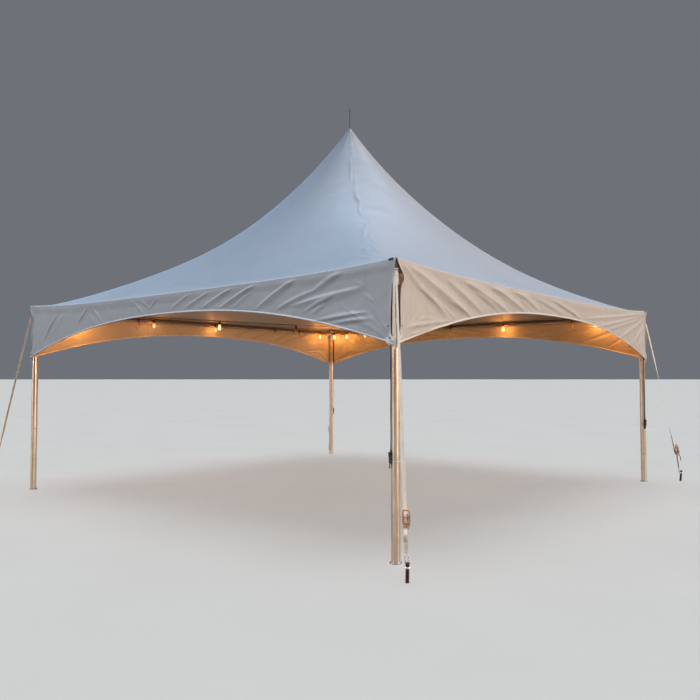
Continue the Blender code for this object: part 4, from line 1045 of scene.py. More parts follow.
def makeCornerFittings():
    look, outer, wide, level = fittingLook, tent["socketRadius"], tent["armRadius"], tent["beamHeight"]
    bore, inner = tent["legRadius"] + tent["fit"], tent["beamRadius"] + 0.0004
    low, top, start, end = look["low"], look["top"], look["armStart"], look["armEnd"]
    shell = [(bore, low + 0.03), (bore, low), (outer, low), (outer, top - 0.006)]
    shell += [(outer - 0.006, top), (0, top)]
    bits = [turnedBit(shell, 64, ease=0.0016, steps=3)]
    arm = [(wide - 0.004, start), (wide, start), (wide, end), (inner, end), (inner, end - 0.04)]
    armBits = [alongX(turnedBit(arm, 56, ease=0.0012))]
    angle = fullTurn(80)  # the weld where the arm meets the socket follows the saddle
    y, z = wide * np.cos(angle), wide * np.sin(angle)
    seam = np.stack([np.sqrt(outer**2 - y**2), y, z], -1)
    armBits.append(rodBit(seam, 0.0028, 8, closed=True, scale=1 + 0.12 * np.cos(angle * 26)))
    for place in look["armBolts"]:
        for way in (-1, 1):
            armBits += boltBit((place, 0, way * (wide - 0.0005)), (0, 0, way), 0.0085, 1)
    for side in (-1, 1):
        bits += movedBits(armBits, shifted(0, 0, level) @ turned(side * 3 * math.pi / 4))
    for angle in (math.pi, math.pi * 0.72, -math.pi * 0.72):
        bits += movedBits(boltBit((outer - 0.0006, 0, look["bolts"]), (1, 0, 0), 0.0085, 1), turned(angle))
    lug = lugBits(look["lug"], 0.036, 0.0425, 0.0024)
    bits += movedBits(lug, shifted(0, 0, tent["lugHeight"]) @ turned(math.pi))
    # the guy's eye
    cheek = [(0.030, -0.0078), (0.0560, -0.0078), (0.0606, -0.0050), (0.0618, 0), (0.0606, 0.0050)]
    cheek += [(0.0560, 0.0078), (0.030, 0.0078)]
    for side in (-1, 1):
        bits.append(plateBit(cheek, 0.003, shifted(0, side * look["eyeHalf"], level), 0.0005))
        bits += boltBit((tent["eyeReach"], side * (look["eyeHalf"] + 0.0013), level), (0, side, 0), 0.0062, 1)
    bits.append(pinBit(tent["eyeReach"], level, look["eyeHalf"], 0.004, 16))
    atCorners("corner_socket_", bits, [shadedCastMetal, galvanised], "corner_fitting_")


def forkBits():
    # a forked end with its pin, its bolt heads and a pressed ferrule
    jaw = [(-0.0090, -0.0095), (0.030, -0.0115), (0.034, -0.009), (0.034, 0.009), (0.030, 0.0115)]
    jaw += [(-0.0090, 0.0095), (-0.0125, 0.0)]
    bridge = [(0.020, -0.0112), (0.032, -0.0112), (0.032, 0.0112), (0.020, 0.0112)]
    bits = [plateBit(bridge, 0.0205, material=1), pinBit(0, 0, 0.0135, 0.005, 20)]
    for side in (-1, 1):
        bits.append(plateBit(jaw, 0.005, shifted(0, side * 0.0078, 0), material=1))
        bits += boltBit((0, side * 0.0100, 0), (0, side, 0), 0.0075, 1)
    ferrule = [(0.004, 0.026), (0.0090, 0.026), (0.0090, 0.040), (0.0078, 0.042), (0.0078, 0.047)]
    ferrule += [(0.0090, 0.049), (0.0090, 0.056), (0.0078, 0.058), (0.0078, 0.063), (0.0090, 0.065)]
    ferrule += [(0.0088, 0.074), (0.0045, 0.0765)]
    return bits + [alongX(turnedBit(ferrule, 24, material=1, ease=0.001))]


cableLook = {"radius": 0.004, "strands": 6, "pitch": 0.075, "forkLong": 0.050, "places": 230}


def makeCables():
    look = cableLook
    start = Vector((tent["hubReach"], 0, tent["hubHeight"]))
    end = Vector((tent["lugReach"], 0, tent["lugHeight"]))
    length, climb = (end - start).length, math.atan2(end.z - start.z, end.x - start.x)
    angle = fullTurn(18)
    lobes = (look["radius"] * (0.90 + 0.13 * np.abs(np.cos(angle * look["strands"] / 2))))[:, None]
    line = np.linspace(look["forkLong"], length - look["forkLong"], look["places"])
    path = np.stack([line, 0 * line, 0 * line], -1)
    fork = forkBits()
    bits = [sweptBit(path, lobes * circleRing(1, 18), side=(0, 0, 1), twist=math.tau / look["pitch"]), *fork]
    bits += movedBits(fork, shifted(length, 0, 0) @ turned(math.pi))
    lean = turned(math.pi / 4) @ Matrix.Translation(start) @ turned(-climb, "Y")
    for quarter, corner in enumerate(cornerNames):
        placed, node = movedBits(bits, sideMatrix(quarter) @ lean), ["cross_cable_" + corner]
        makePiece("wire_cable_" + corner, placed, [wireRope, galvanised], node)


makeLegs()
makeBeams()
makeMast()
makeCornerFittings()
makeCables()
print("frame dressed")

# straps on the legs and the ties that hold the valances' corners in
legStrapLook = {
    "width": 0.025, "lengthwise": 0.014, "thick": 0.0025, "turn": math.radians(-80),
    "tie": 1.765, "band": 0.800, "buckle": 0.840,
}


def aroundLeg(radius, thick, low, high, start=0, end=math.tau, sway=0.0, steps=64, material=0):
    # webbing laid round a leg, with eased edges
    edges = [(0.0, 0.35), (0.03, 0.75), (0.12, 1.0), (0.5, 1.0), (0.88, 1.0), (0.97, 0.75), (1.0, 0.35)]
    angle = np.linspace(start, end, steps)
    drift = sway * np.sin(angle * 3 + 0.6)
    rows = []
    for share, full in edges + [(share, 0) for share, _ in edges[::-1]]:
        reach = radius + thick * (0.5 + 0.5 * full if full else 0.02)
        height = low + (high - low) * share + drift
        rows.append(np.stack([reach * np.cos(angle), reach * np.sin(angle), height], -1))
    uv = np.stack(np.meshgrid(angle * radius, np.linspace(0, 2 * (high - low), len(rows) + 1)), -1)
    return gridBit(np.array(rows), uv[..., ::-1], wrapRows=True, material=material)


def buckleBits():
    # ladder lock: a frame with three bars and a lifted tongue
    outline = [(-0.017, -0.042), (0.017, -0.042), (0.0195, -0.036), (0.0195, 0.036), (0.017, 0.042)]
    outline += [(-0.017, 0.042), (-0.0195, 0.036), (-0.0195, -0.036)]
    path = framedPath([(0.0, y, z) for y, z in outline], (0.0, 0.25, 0.5, 0.75))
    bits = [rodBit(path, 0.0042, 10, (1.3, 0.8), side=(1, 0, 0), closed=True, material=1)]
    for z in (-0.022, 0.004, 0.028):
        bar = [(0.001, y, z) for y in np.linspace(-0.018, 0.018, 5)]
        bits.append(rodBit(bar, 0.0038, 10, (1.2, 0.9), side=(1, 0, 0), material=1))
    tongue = [(0.000, 0, 0.022), (0.004, 0, 0.030), (0.008, 0, 0.038), (0.010, 0, 0.046)]
    return bits + [strapBit(tongue, 0.028, 0.004, material=1)]


def makeLegStraps():
    look = legStrapLook
    radius, half = tent["legRadius"] + tent["fit"], look["lengthwise"] / 2
    thick, low = look["thick"], look["band"]
    angles = look["turn"] + np.linspace(-half, half, 9) / radius
    heights = np.linspace(low + half, look["tie"] + half, 60)
    slack = 0.0014 * np.sin(heights * 9) ** 2
    # the strap's inner face, then its outer one
    lines = [(angle, 0.0004 + slack * 0.3) for angle in angles[::-1]]
    lines += [(angle, thick * full + slack) for angle, full in zip(angles, (0.55, *[1.0] * 7, 0.55))]
    rows = [np.stack([(radius + o) * math.cos(a), (radius + o) * math.sin(a), heights], -1) for a, o in lines]
    uv = np.stack(np.meshgrid(heights, np.linspace(0, 4 * half, len(rows) + 1)), -1)
    bits = [gridBit(np.array(rows), uv[..., ::-1], wrapRows=True)]
    bits.append(aroundLeg(radius, thick, low + 0.008, low + 0.017, material=2))
    turn = turned(look["turn"])
    place = turn @ shifted(radius + 0.009, 0, look["buckle"]) @ turned(math.radians(3), "Y")
    bits += movedBits(buckleBits(), place)
    weave = [(0.003, 0.905), (0.007, 0.882), (0.015, 0.866), (0.007, 0.852), (0.014, 0.838)]
    weave += [(0.009, 0.818), (0.010, 0.798), (0.012, 0.776), (0.011, 0.756)]
    weave = [(radius + out, 0, height) for out, height in weave]
    bits.append(movedBit(strapBit(weave, look["width"], thick, smooth=40), turn))
    materials = [blackWebbing, blackPlastic, guyWebbing]
    atCorners("strap_and_buckle_", bits, materials, "leg_strap_")


def makeCornerTies():
    # white webbing through the valances' lowest eyelets, knotted round the leg, and the lace in the slit
    radius, low = tent["legRadius"] + tent["fit"], legStrapLook["tie"]
    bits = [aroundLeg(radius, 0.0026, 0, 0.025, sway=0.0015)]
    bits.append(aroundLeg(radius + 0.0022, 0.0022, 0.006, 0.030, -2.3, 2.3, 0.004, 50))
    for side, drop in ((-1, 0.055), (1, 0.038)):
        band = [(0.0385, side * 0.012, 0.018), (0.0500, side * 0.026, 0.034), (0.0440, side * 0.041, 0.052)]
        band += [(0.0215, side * 0.0535, 0.067), (0.0130, side * 0.0520, 0.072)]
        bits.append(strapBit(band, 0.018, 0.0022, (0, 0.2 * side, 1), smooth=24))
        end = [(0.050, side * 0.006, 0.006), (0.056, side * 0.012, -0.010)]
        end += [(0.053, side * 0.015, -0.030), (0.050, side * 0.014, -drop)]
        bits.append(strapBit(end, 0.017, 0.0022, (0.3 * side, 1, 0.1), smooth=16))
    loop = [(0.043, -0.010, 0.010), (0.052, 0.006, 0.026), (0.058, 0.018, 0.014), (0.055, 0.010, -0.004)]
    loop += [(0.050, -0.006, 0.002), (0.053, -0.016, 0.020), (0.057, -0.006, 0.032), (0.050, 0.012, 0.024)]
    bits.append(strapBit(loop, 0.017, 0.0024, (1, 0.2, 0.3), smooth=60))
    square = [(0.0600, y, z) for y, z in ((-0.011, 0.004), (0.011, 0.004), (0.011, 0.026), (-0.011, 0.026))]
    path = framedPath(square, (0.08, 0.36, 0.64, 0.92))
    bits.append(rodBit(path, 0.0022, side=(1, 0, 0), closed=True, material=1))
    bits = movedBits(bits, shifted(0, 0, low))
    lace = [(0.0500, 0.004, 2.340), (0.0475, -0.004, 2.28), (0.0465, 0.006, 2.17), (0.0470, 0.008, 2.05)]
    lace += [(0.0465, 0.002, 1.93), (0.0480, -0.004, 1.84), (0.0470, 0.0, 1.79)]
    bits.append(rodBit(lace, 0.0028, smooth=60))
    strip = [(0.0480, -0.018, 2.325), (0.0530, -0.018, 2.20), (0.0560, -0.020, 2.05)]
    strip += [(0.0530, -0.017, 1.90), (0.0480, -0.012, 1.80)]
    bits.append(strapBit(strip, 0.019, 0.0024, (0.15, 1, 0), smooth=40))
    # the lowest corner of one valance, gathered in and drawn round the leg
    thin = np.interp(np.linspace(0, 1, 24), (0, 0.25, 0.8, 1), (0.25, 1, 1, 0.5))
    upper = [(-0.026, -0.078, 1.800), (0.008, -0.070, 1.796), (0.038, -0.050, 1.780), (0.052, -0.022, 1.770)]
    upper.append((0.054, 0.002, 1.780))
    lower = [(-0.026, -0.072, 1.776), (0.014, -0.064, 1.768), (0.040, -0.040, 1.752), (0.052, -0.012, 1.756)]
    bits.append(strapBit(upper, 0.026, 0.007, (0.25, 0, 1), scale=thin, material=3, smooth=24))
    bits.append(strapBit(lower, 0.020, 0.008, (0.6, 0, 1), scale=thin, material=3, smooth=24))
    for x, y, wide in ((0.005, -0.0465, 0.020), (0.0365, 0.0250, 0.030)):  # black webbing strips behind the flaps stand in for the shade in the slit: painted shade over the leg
        behind = [(x, y, 2.235), (x + 0.0015, y, 2.0), (x, y, 1.80)]
        lean = -math.sin(math.atan2(y, x)) if y > 0 else 0
        bits.append(strapBit(behind, wide, 0.0022, (lean, 1, 0), material=2, smooth=30))
    atCorners("corner_tie_", bits, [whiteWebbing, galvanised, blackWebbing, shadedValanceVinyl])


tabLook = {"width": 0.050, "middle": 2.998, "top": 2.4520}


def makeCornerTabs():
    # black webbing tab folded out under the eave at each side's right end
    fold = ((3.0440, 0), (3.0500, 0.0012), (3.0548, 0.0065), (3.0562, 0.013), (3.0558, 0.021))
    path = [(-tabLook["middle"], out, tabLook["top"] - drop) for out, drop in fold]
    bit = strapBit(path, tabLook["width"], 0.0022, (1, 0, -0.08), smooth=18)
    for quarter, side in enumerate(sideNames):
        makePiece("corner_tab_" + side, movedBits([bit], sideMatrix(quarter)), [blackWebbing])


makeLegStraps()
makeCornerTies()
makeCornerTabs()
print("straps and ties on")

# guys: webbing, ratchet, hook and stake; along a guy X runs down and Z is outward
stakeLook = {
    "reach": 0.55, "radius": 0.014, "height": 0.15, "lean": math.radians(6),
    "ring": 0.0193, "ringWire": 0.0068, "ringHeight": 0.115,
}


def guyFrame():
    look = stakeLook
    pin = Vector((tent["eyeReach"], 0, tent["beamHeight"]))
    centre = Vector((look["reach"] + look["ringHeight"] * math.tan(look["lean"]), 0, look["ringHeight"]))
    hook = centre + turned(look["lean"], "Y") @ Vector((-look["ring"], 0, 0))
    down, across = (hook - pin).normalized(), Vector((0, -1, 0))
    axes = Matrix((down, across, down.cross(across))).transposed().to_4x4()
    return Matrix.Translation(pin) @ axes, (hook - pin).length, centre


guyLook = {
    "width": 0.028, "thick": 0.0025, "loop": 0.0056, "stitched": 0.05, "stitches": (0.026, 0.034, 0.042),
    "turned": math.radians(34), "slitTurned": math.radians(30),
}


def guyBits(drum):
    # the webbing from the eye to the drum, its sewn loop and the stitches
    look = guyLook
    loop, wide, thick = look["loop"], look["width"], look["thick"]
    angles = np.linspace(math.pi / 2 + math.radians(290), math.pi / 2, 22)
    path = [(loop * math.cos(a), 0, loop * math.sin(a)) for a in angles]
    facing = [(0, 1, 0)] * len(path)
    for x in np.linspace(0.02, drum - 0.004, 60):
        path.append((x, 0, loop - 0.006 * math.sin(math.pi * x / drum)))
        start = smoothStep(x, 0.03, 0.14)
        angle = look["turned"] * float(start * (1 - smoothStep(x, drum - 0.45, drum - 0.06)))
        angle += look["slitTurned"] * float(start * (1 - smoothStep(x, 0.50, 0.90)))
        facing.append((0, math.cos(angle), math.sin(angle)))
    second = [(x, 0, 0.0030 - 0.0006 * x / 0.05) for x in np.linspace(0.014, look["stitched"], 6)]
    bits = [strapBit(path, wide, thick, facing), strapBit(second, wide * 0.97, thick)]
    for x in look["stitches"]:
        seam = [(x, y, loop + 0.0014) for y in np.linspace(-0.011, 0.011, 8)]
        bits.append(rodBit(seam, 0.0008, 6, (1, 0.6), side=(1, 0, 0), material=1))
    return bits


ratchetLook = {
    "up": 0.340, "depth": -0.014, "cheek": 0.0165, "teeth": 14,
    "bar": 0.075, "tail": 0.195, "tape": 0.0275,
}


def channelRing(width, depth, thick):
    # folded steel section, open towards the drum
    half, bore, ease = width / 2, width / 2 - thick, 0.002
    outer = [(-half, depth), (-half, ease), (-half + ease, 0), (half - ease, 0), (half, ease), (half, depth)]
    return np.array(outer + [(bore, depth), (bore, thick), (-bore, thick), (-bore, depth)])


def ratchetBits():
    # X and Z start at the drum's middle
    look = ratchetLook
    cheek, bar, tail, tape = look["cheek"], look["bar"], look["tail"], look["tape"]
    shape = [(-0.035, -0.010), (-0.033, 0.012), (-0.020, 0.0215), (0.016, 0.022), (0.044, 0.017)]
    shape += [(0.078, 0.012), (0.085, 0.0), (0.078, -0.012), (0.044, -0.020), (0.016, -0.022)]
    shape = softened([*shape, (-0.020, -0.0215), shape[0]], 0.006, 3)[1:]
    teeth = []
    for angle in fullTurn(look["teeth"]):
        teeth.append((0.0215 * math.cos(angle), 0.0215 * math.sin(angle)))
        teeth.append((0.0175 * math.cos(angle + 0.12), 0.0175 * math.sin(angle + 0.12)))
    bits = [pinBit(0, 0, cheek, 0.0065, 16), pinBit(bar, 0, cheek, 0.005, 16)]
    grip = [(-0.056, -0.034), (-0.050, -0.0275), (-0.030, -0.0245), (0.0, -0.0250), (0.030, -0.0262)]
    path = smoothPath([(x, 0, z) for x, z in [*grip, (0.052, -0.0280), (0.058, -0.033)]], 36)
    bits.append(sweptBit(path[25:], channelRing(0.044, 0.012, 0.0022), side=(0, 1, 0)))
    section = np.array([(-0.0034, -0.0085), (0.0034, -0.0085), (0.0042, 0)])
    section = np.concatenate([section, -section])
    bow = 0.0195 + 0.0075 * np.sin(np.linspace(0, math.pi, len(path))) ** 1.5
    for side in (-1, 1):
        bits.append(plateBit(shape, 0.003, shifted(0, side * cheek, 0), 0.0006))
        bits.append(plateBit(teeth, 0.0026, shifted(0, side * 0.0198, 0), 0.0004, material=1))
        bits += boltBit((0, side * 0.0208, 0), (0, side, 0), 0.0105, 1)
        bits += boltBit((bar, side * 0.0178, 0), (0, side, 0), 0.0085, 1)
        bits.append(sweptBit(path + side * bow[:, None] * (0, 1, 0), section, side=(0, 1, 0)))
    knob = [(-0.056, y, -0.036) for y in np.linspace(-0.020, 0.020, 7)]
    bits.append(rodBit(knob, 0.0065, 16, side=(0, 0, 1)))
    pawl = [(-0.030, 0.016), (-0.018, 0.020), (-0.016, 0.0235), (-0.032, 0.0225)]
    bits.append(plateBit(pawl, 0.030, None, 0.0005, 1))
    # webbing wound on the drum, doubled down to the hook, and the loose tail
    turns, reach = np.linspace(0, math.tau * 4.2, 150), np.linspace(0.0075, 0.0178, 150)
    wound = np.stack([reach * np.sin(turns), 0 * turns, reach * np.cos(turns)], -1)
    bits.append(strapBit(wound, tape, 0.0022, material=2))
    for way in (1, -1):
        doubled = [(bar - 0.006, 0, 0), (bar, 0, way * 0.0065), (bar + 0.008, 0, way * 0.0035)]
        doubled += [(bar + tail * t, 0, way * 0.0012 - look["depth"] * t) for t in (0.2, 0.5, 0.8)]
        doubled.append((bar + tail - 0.001, 0, way * 0.0055 - look["depth"]))
        bits.append(strapBit(doubled, guyLook["width"], 0.0024, material=2, smooth=40))
    loose = [(0.004, 0.002, -0.018), (0.030, 0.003, -0.0215), (0.060, 0.004, -0.021), (0.090, 0.008, -0.030)]
    loose += [(0.120, 0.012, -0.040), (0.150, 0.012, -0.036), (0.172, 0.010, -0.030)]
    bits.append(strapBit(loose, tape, 0.0024, material=2, smooth=40))
    return bits


def hookBit(length, start):
    # bent rod from the doubled webbing to the stake's ring
    arm = [(start - 0.006, 0.0125, 0.0), (start + 0.012, 0.0130, 0.001), (length - 0.040, 0.0120, 0.005)]
    arm += [(length - 0.018, 0.0100, 0.0088), (length, 0.0095, 0.0095), (length + 0.0080, 0.0092, 0.005)]
    arm += [(length + 0.0098, 0.0090, -0.001), (length + 0.005, 0.0088, -0.0082)]
    arm.append((length - 0.010, 0.0090, -0.0112))
    side = smoothPath(arm, 44)
    over = [(start - 0.0085, y, 0) for y in np.linspace(0.0085, -0.0085, 6)]
    return rodBit(np.concatenate([side[::-1], over, side * (1, -1, 1)]), 0.0050, 12, material=3)


def stakeBit():
    look = stakeLook
    tall, radius = look["height"], look["radius"]
    outline = [(0, -0.01), (radius, -0.01), (radius, 0.03), (radius * 0.985, 0.07), (radius, 0.11)]
    outline += [(radius, tall - 0.013), (radius + 0.0042, tall - 0.009), (radius + 0.0040, tall - 0.002)]
    shaft = turnedBit([*outline, (radius * 0.7, tall), (0, tall + 0.0005)], 40, ease=0.003, steps=3)
    points = shaft["points"]
    rough = 1 + 0.03 * softNoise(8, *(points.T * 60)) * (points[:, 2] > tall - 0.012)  # a hammered head
    shaft["points"] = points * rough[:, None] ** np.array([1, 1, 0])
    shaft = movedBit(shaft, shifted(look["reach"], 0, 0) @ turned(look["lean"], "Y"))
    shaft["points"][:, 2] = np.maximum(shaft["points"][:, 2], 0.0)
    return shaft


def makeGuys():
    place, length, centre = guyFrame()
    drum = length - ratchetLook["up"]
    gear = movedBits(ratchetBits(), shifted(drum, 0, ratchetLook["depth"]))
    gear = movedBits([*gear, hookBit(length, drum + ratchetLook["bar"] + ratchetLook["tail"])], place)
    circle = circlePath(stakeLook["ring"], 40)
    ring = rodBit(circle, stakeLook["ringWire"], 14, side=(0, 0, 1), closed=True, material=3)
    gear.append(movedBit(ring, Matrix.Translation(centre) @ turned(stakeLook["lean"], "Y")))
    strap = movedBits(guyBits(drum), place)
    atCorners("guy_webbing_", strap, [guyWebbing, whiteWebbing], "guy_strap_")
    metals = [copperPlate, galvanised, guyWebbing, galvanised]
    atCorners("ratchet_", gear, metals, "guy_ratchet_")
    atCorners("ground_stake_", [stakeBit()], [rustySteel], "stake_")


makeGuys()
print("guys rigged")

# string lights: places along each beam from its middle and how bright each lamp is
lampLook = {
    "inset": 0.05495, "wireInset": 0.03995, "top": 2.375, "wire": 2.355, "socket": 0.050, "length": 0.076,
    "under": 0.0078,  # the branch's wire below the cable
    "beamTie": 0.0331, "wireTie": 0.0052, "ties": 0.55, "branchTies": 0.45,
    "colour": (1.0, 0.33, 0.05), "size": 0.03,
    "power": {"bright": 1.9, "strong": 6.2, "soft": 0.85, "dim": 0.06},
    "glass": {"bright": 1, "strong": 2, "soft": 2, "dim": 3},
}
lampPlaces = {
    "back": (
        (-0.955, "bright"), (-0.85, "bright"), (-0.70, "soft"), (-0.07, "dim"),
        (0.27, "bright"), (0.66, "dim"), (0.78, "bright"), (0.92, "strong"),
    ),
    "left": (
        (-0.80, "strong"), (-0.48, "dim"), (-0.39, "soft"), (0.01, "soft"),
        (0.47, "dim"), (0.68, "dim"), (0.87, "bright"),
    ),
    "front": ((-0.80, "soft"), (-0.39, "soft"), (0.01, "soft"), (0.47, "soft"), (0.80, "strong")),
    "right": ((-0.80, "soft"), (-0.48, "soft"), (0.01, "soft"), (0.47, "soft"), (0.80, "soft")),
}
branchLamps = ((1.80, "bright"), (0.75, "dim"))
cableClimb = (tent["lugHeight"] - tent["hubHeight"]) / (tent["lugReach"] - tent["hubReach"])


def cableHeight(reach):
    return tent["hubHeight"] + cableClimb * (reach - tent["hubReach"])


def lampBits(kind):
    # socket and bulb, hanging down from the origin
    collar = lampLook["socket"]
    cup = [(0, 0), (0.006, 0), (0.0105, 0.003), (0.0120, 0.008), (0.0150, 0.012), (0.0150, 0.016)]
    cup.append((0.0140, 0.018))
    for low in 0.020 + 0.0065 * np.arange(4):  # ribs
        cup += [(0.0150, low), (0.0150, low + 0.0035), (0.0138, low + 0.0048)]
    cup += [(0.0150, collar - 0.004), (0.0146, collar), (0.0125, collar)]
    down = (0.0, 0.05, 0.13, 0.25, 0.40, 0.58, 0.74, 0.87, 0.95, 0.985, 1.0)
    wide = (0.0128, 0.0134, 0.0140, 0.0156, 0.0180, 0.0196, 0.0190, 0.0152, 0.0094, 0.0050, 0.0)
    place = np.linspace(0, 1, 17) ** 0.95
    profile = np.stack([np.interp(place, down, wide), -collar - lampLook["length"] * place], -1)
    socket = turnedBit(np.array(cup) * (1, -1), 12, ease=0.0006, steps=1)
    return socket, turnedBit(profile, 24, material=lampLook["glass"][kind])


def tieBit(ring, across, width, thick):
    # a cable tie in the plane across X
    section = np.array([(-0.5, -0.3), (-0.3, -0.5), (0.3, -0.5), (0.5, -0.3)])
    section = np.concatenate([section, -section]) * (width, thick)
    return sweptBit([(across, y, z) for y, z in ring], section, side=(1, 0, 0), closed=True)


def shoneOn(name, pieces):
    # the only pieces that a light falls on
    group = bpy.data.collections.new(name)
    for piece in pieces:
        group.objects.link(piece)
    return group


def putLight(name, kind, reached, power, colour, **settings):
    data = bpy.data.lights.new(name, kind)
    data.energy, data.color = power, colour
    for key, value in settings.items():
        setattr(data, key, value)
    lamp = bpy.data.objects.new(name, data)
    lamp.light_linking.receiver_collection = reached
    bpy.context.scene.collection.objects.link(lamp)
    return lamp


def makeStringLights():
    look, half, level = lampLook, tent["half"], tent["beamHeight"]
    branchTurn = turned(math.pi / 4 + math.pi)
    spots = []
    for quarter, side in enumerate(sideNames):
        for share, kind in lampPlaces[side]:
            place = shifted(share * half, half - look["inset"], look["top"])
            spots.append((sideMatrix(quarter) @ place, kind))
    for reach, kind in branchLamps:
        spots.append((branchTurn @ shifted(reach, 0, cableHeight(reach) - look["under"]), kind))
    lamps = [movedBits(lampBits(kind), spot) for spot, kind in spots]
    cord, glass = [list(bits) for bits in zip(*lamps)]

    wireHalf = half - look["wireInset"]
    line = np.linspace(wireHalf, -wireHalf, 97)[:-1]
    hang = 0.004 * np.cos(line * math.tau / look["ties"]) - 0.004
    hang *= smoothStep(wireHalf - np.abs(line), 0.0, 0.2)
    run = np.stack([line, np.full(96, wireHalf), look["wire"] + hang], -1)
    path = np.concatenate([run @ sideArray(quarter) for quarter in range(4)])
    cord.append(rodBit(path, 0.004, side=(0, 0, 1), closed=True))
    meeting = tent["hubReach"] + (look["wire"] + look["under"] - tent["hubHeight"]) / cableClimb
    branch = [(reach, 0, look["wire"]) for reach in np.linspace(wireHalf * math.sqrt(2), meeting, 12)]
    under = np.linspace(meeting - 0.05, branchLamps[-1][0], 40)
    branch += [(reach, 0, cableHeight(reach) - look["under"]) for reach in under]
    cord.append(movedBit(rodBit(branch, 0.0035, side=(0, 1, 0)), branchTurn))
    ring = []  # a tie goes round the beam and the wire under it
    for angle in fullTurn(28):
        way = np.array([math.cos(angle), math.sin(angle)])
        big, small = look["beamTie"] * way, look["wireTie"] * way + (-look["wireInset"], -0.005)
        ring.append((big if big.dot(way) > small.dot(way) else small) + (half, level))
    for across in np.arange(-2.475, 2.6, look["ties"]):
        tie = tieBit(ring, across, 0.0045, 0.0014)
        cord += [movedBit(tie, sideMatrix(quarter)) for quarter in range(4)]
    for reach in np.arange(1.0, 3.3, look["branchTies"]):
        ring = circleRing(1, 18) * (look["wireTie"], 0.0088) + (0, cableHeight(reach) - 0.0037)
        cord.append(movedBit(tieBit(ring, reach, 0.004, 0.0012), branchTurn))
    makePiece("light_string", cord, [cordRubber], ["string_lights"])
    bulbs = makePiece("lamp_bulbs", glass, [cordRubber, *bulbGlass.values()])
    bulbs.visible_shadow = False
    reached = shoneOn("lamp_light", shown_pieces())
    for number, (spot, kind) in enumerate(spots):
        name, power = f"lamp_{number:02d}", look["power"][kind]
        lamp = putLight(name, "POINT", reached, power, look["colour"], shadow_soft_size=look["size"])
        lamp.location = spot @ Vector((0, 0, -look["socket"] - look["length"] * 0.55))


makeStringLights()
print("lamps lit")

# studio: pale floor, soft lights and the photograph's camera
studioLook = {
    "floor": (0.76, 0.74, 0.71), "floorRadius": 2500,
    "world": (0.155, 0.168, 0.188), "ground": (0.035, 0.020, 0.010),
    "floorLights": {"floor_sky": (0.55, True), "floor_fill": (1.75, False)}, "floorLight": (0.93, 0.97, 1.0),
    "lens": 37.035, "camera": (6.462, -7.694, 1.479),
    "heading": math.radians(130.01), "tilt": math.radians(2.252),
}
# lights in a place: where, how wide, power, colour, and whether it is for the roof alone or all but the roof
placedLights = {
    "glow": ((-0.4, 0.4, 0.9), 0.8, 104.0, (1.0, 0.365, 0.058), False),
    "underglow": ((-0.4, 0.4, 0.9), 0.8, 26.0, (1.0, 0.42, 0.10), True),
    "dusk": ((-7.5, -5.5, 5.0), 2.0, 560.0, (0.33, 0.58, 1.0), True),
}
# lights from afar: from where, how many degrees wide, power, colour, and what the pieces' names start with or
# which side the light is for
studioLights = {
    "sky": ((-0.11, 0.34, 1), 44, 1.88, (0.53, 0.72, 0.96), ""),
    "warmRight": ((0.80, 0.42, 0.16), 50, 1.15, (1.0, 0.70, 0.46), ""),
    "lowSun": ((-0.96, 0.25, -0.06), 14, 0.3, (1.0, 0.55, 0.22), ""),
    "gold": ((1.0, -0.05, 0.15), 7, 0.85, (1.0, 0.78, 0.57), "leg"),
    "guys": ((0.62, -0.74, 0.30), 30, 0.75, (1.0, 0.94, 0.82), ("guy", "corner_tie")),
    "edge": ((-0.41, -0.91, 0.10), 9, 0.35, (1.0, 0.88, 0.78), "leg"),
    "front": ((-0.35, -0.55, 0.75), 28, 2.02, (0.78, 0.865, 1.0), "front"),
    "right": ((0.75, 0.30, 0.55), 28, 1.5, (1.0, 0.85, 0.74), "right"),
    "back": ((0.35, 0.55, 0.75), 30, 1.5, (0.90, 0.92, 1.0), "back"),
    "left": ((-0.75, -0.30, 0.55), 30, 1.4, (0.90, 0.92, 1.0), "left"),
}


def chosenFor(wanted, pieces):
    if wanted not in sideNames:
        return [piece for piece in pieces if piece.name.startswith(wanted)]
    # a side's light misses the roof and what hangs on the other sides
    hung = ("valance", "hem", "eyelets", "corner_tab")
    others = tuple("_" + side for side in sideNames if side != wanted)
    missed = [p for p in pieces if p.name.startswith(hung) and p.name.endswith(others)]
    return [piece for piece in pieces if piece.name != "roof_sheet" and piece not in missed]


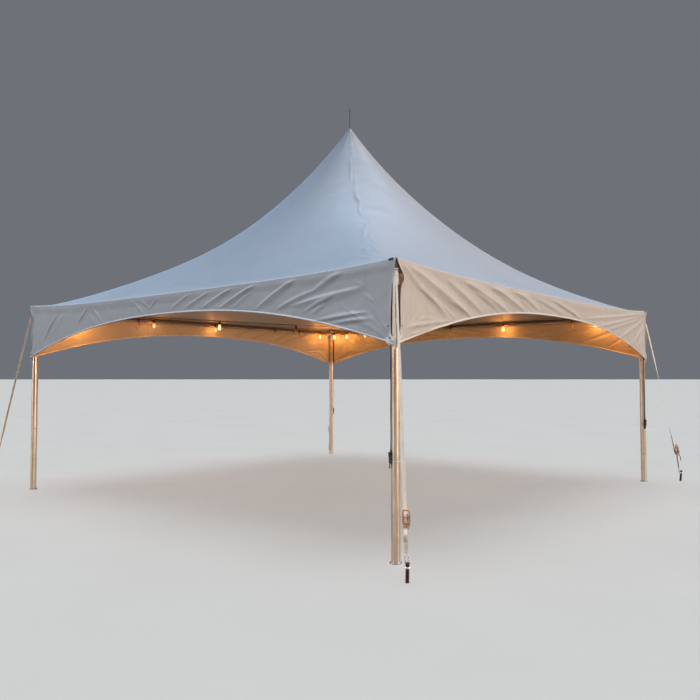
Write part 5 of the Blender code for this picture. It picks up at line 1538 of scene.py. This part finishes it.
def makeStudio():
    look, scene = studioLook, bpy.context.scene
    tentPieces = [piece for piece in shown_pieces() if not piece.name.startswith("studio")]
    floorMaterial, tree, place, _ = startMaterial("pale_floor")
    tone = spread(tree, noiseOf(tree, place, 0.6, 4.0), 0.3, 0.7)
    colour = blended(tree, tone, look["floor"], tuple(c * 0.96 for c in look["floor"]))
    finished(floorMaterial, {"Base Color": colour, "Roughness": 0.9})
    mesh = bpy.data.meshes.new("studio_floor")
    mesh.from_pydata(circlePath(look["floorRadius"], 128).tolist(), [], [list(range(128))])
    mesh.materials.append(floorMaterial)
    floor = bpy.data.objects.new("studio_floor", mesh)
    scene.collection.objects.link(floor)
    floor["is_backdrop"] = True
    # the floor throws no light back up, and the low lights shine past its edge
    floor.visible_shadow = floor.visible_diffuse = False

    world = bpy.data.worlds.new("soft_sky")
    world.use_nodes = True
    sky = world.node_tree
    way = putNode(sky, "TexCoord").outputs["Generated"]
    upward = putNode(sky, "SeparateXYZ", {"Vector": way}).outputs["Z"]
    shade = blended(sky, spread(sky, upward, -0.02, 0.0), look["ground"], look["world"])
    sky.links.new(shade, sky.nodes["Background"].inputs["Color"])
    scene.world = world

    for name, (spot, size, power, colour, onRoof) in placedLights.items():
        reached = shoneOn(name + "_light", [p for p in tentPieces if (p.name == "roof_sheet") == onRoof])
        lamp = putLight(name, "POINT", reached, power, colour, shadow_soft_size=size)
        lamp.location = spot
        lamp.visible_camera = lamp.visible_glossy = False
    for name, (source, wide, power, colour, wanted) in studioLights.items():
        reached = shoneOn(name + "_light", chosenFor(wanted, tentPieces))
        lamp = putLight(name, "SUN", reached, power, colour, angle=math.radians(wide))
        lamp.rotation_euler = (-Vector(source)).to_track_quat("-Z", "Y").to_euler()
    # the floor has two lights of its own: one that throws the tent's shade and one that lifts it
    reached = shoneOn("floor_light", [floor])
    for name, (power, shade) in look["floorLights"].items():
        lamp = putLight(name, "SUN", reached, power, look["floorLight"], angle=math.radians(50))
        lamp.data.use_shadow = shade

    camera = bpy.data.cameras.new("camera")
    camera.lens, camera.sensor_width = look["lens"], 36.0
    eye = bpy.data.objects.new("camera", camera)
    eye.location = look["camera"]
    flat, heading, tilt = math.cos(look["tilt"]), look["heading"], look["tilt"]
    ahead = Vector((math.cos(heading) * flat, math.sin(heading) * flat, math.sin(tilt)))
    eye.rotation_euler = ahead.to_track_quat("-Z", "Y").to_euler()
    scene.collection.objects.link(eye)
    scene.camera = eye
    scene.view_settings.view_transform, scene.view_settings.look = "Standard", "None"


makeStudio()
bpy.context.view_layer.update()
total = 0
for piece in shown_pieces():
    count = sum(len(polygon.vertices) - 2 for polygon in piece.data.polygons)
    total += count * (2 if "thickness" in piece.modifiers else 1)
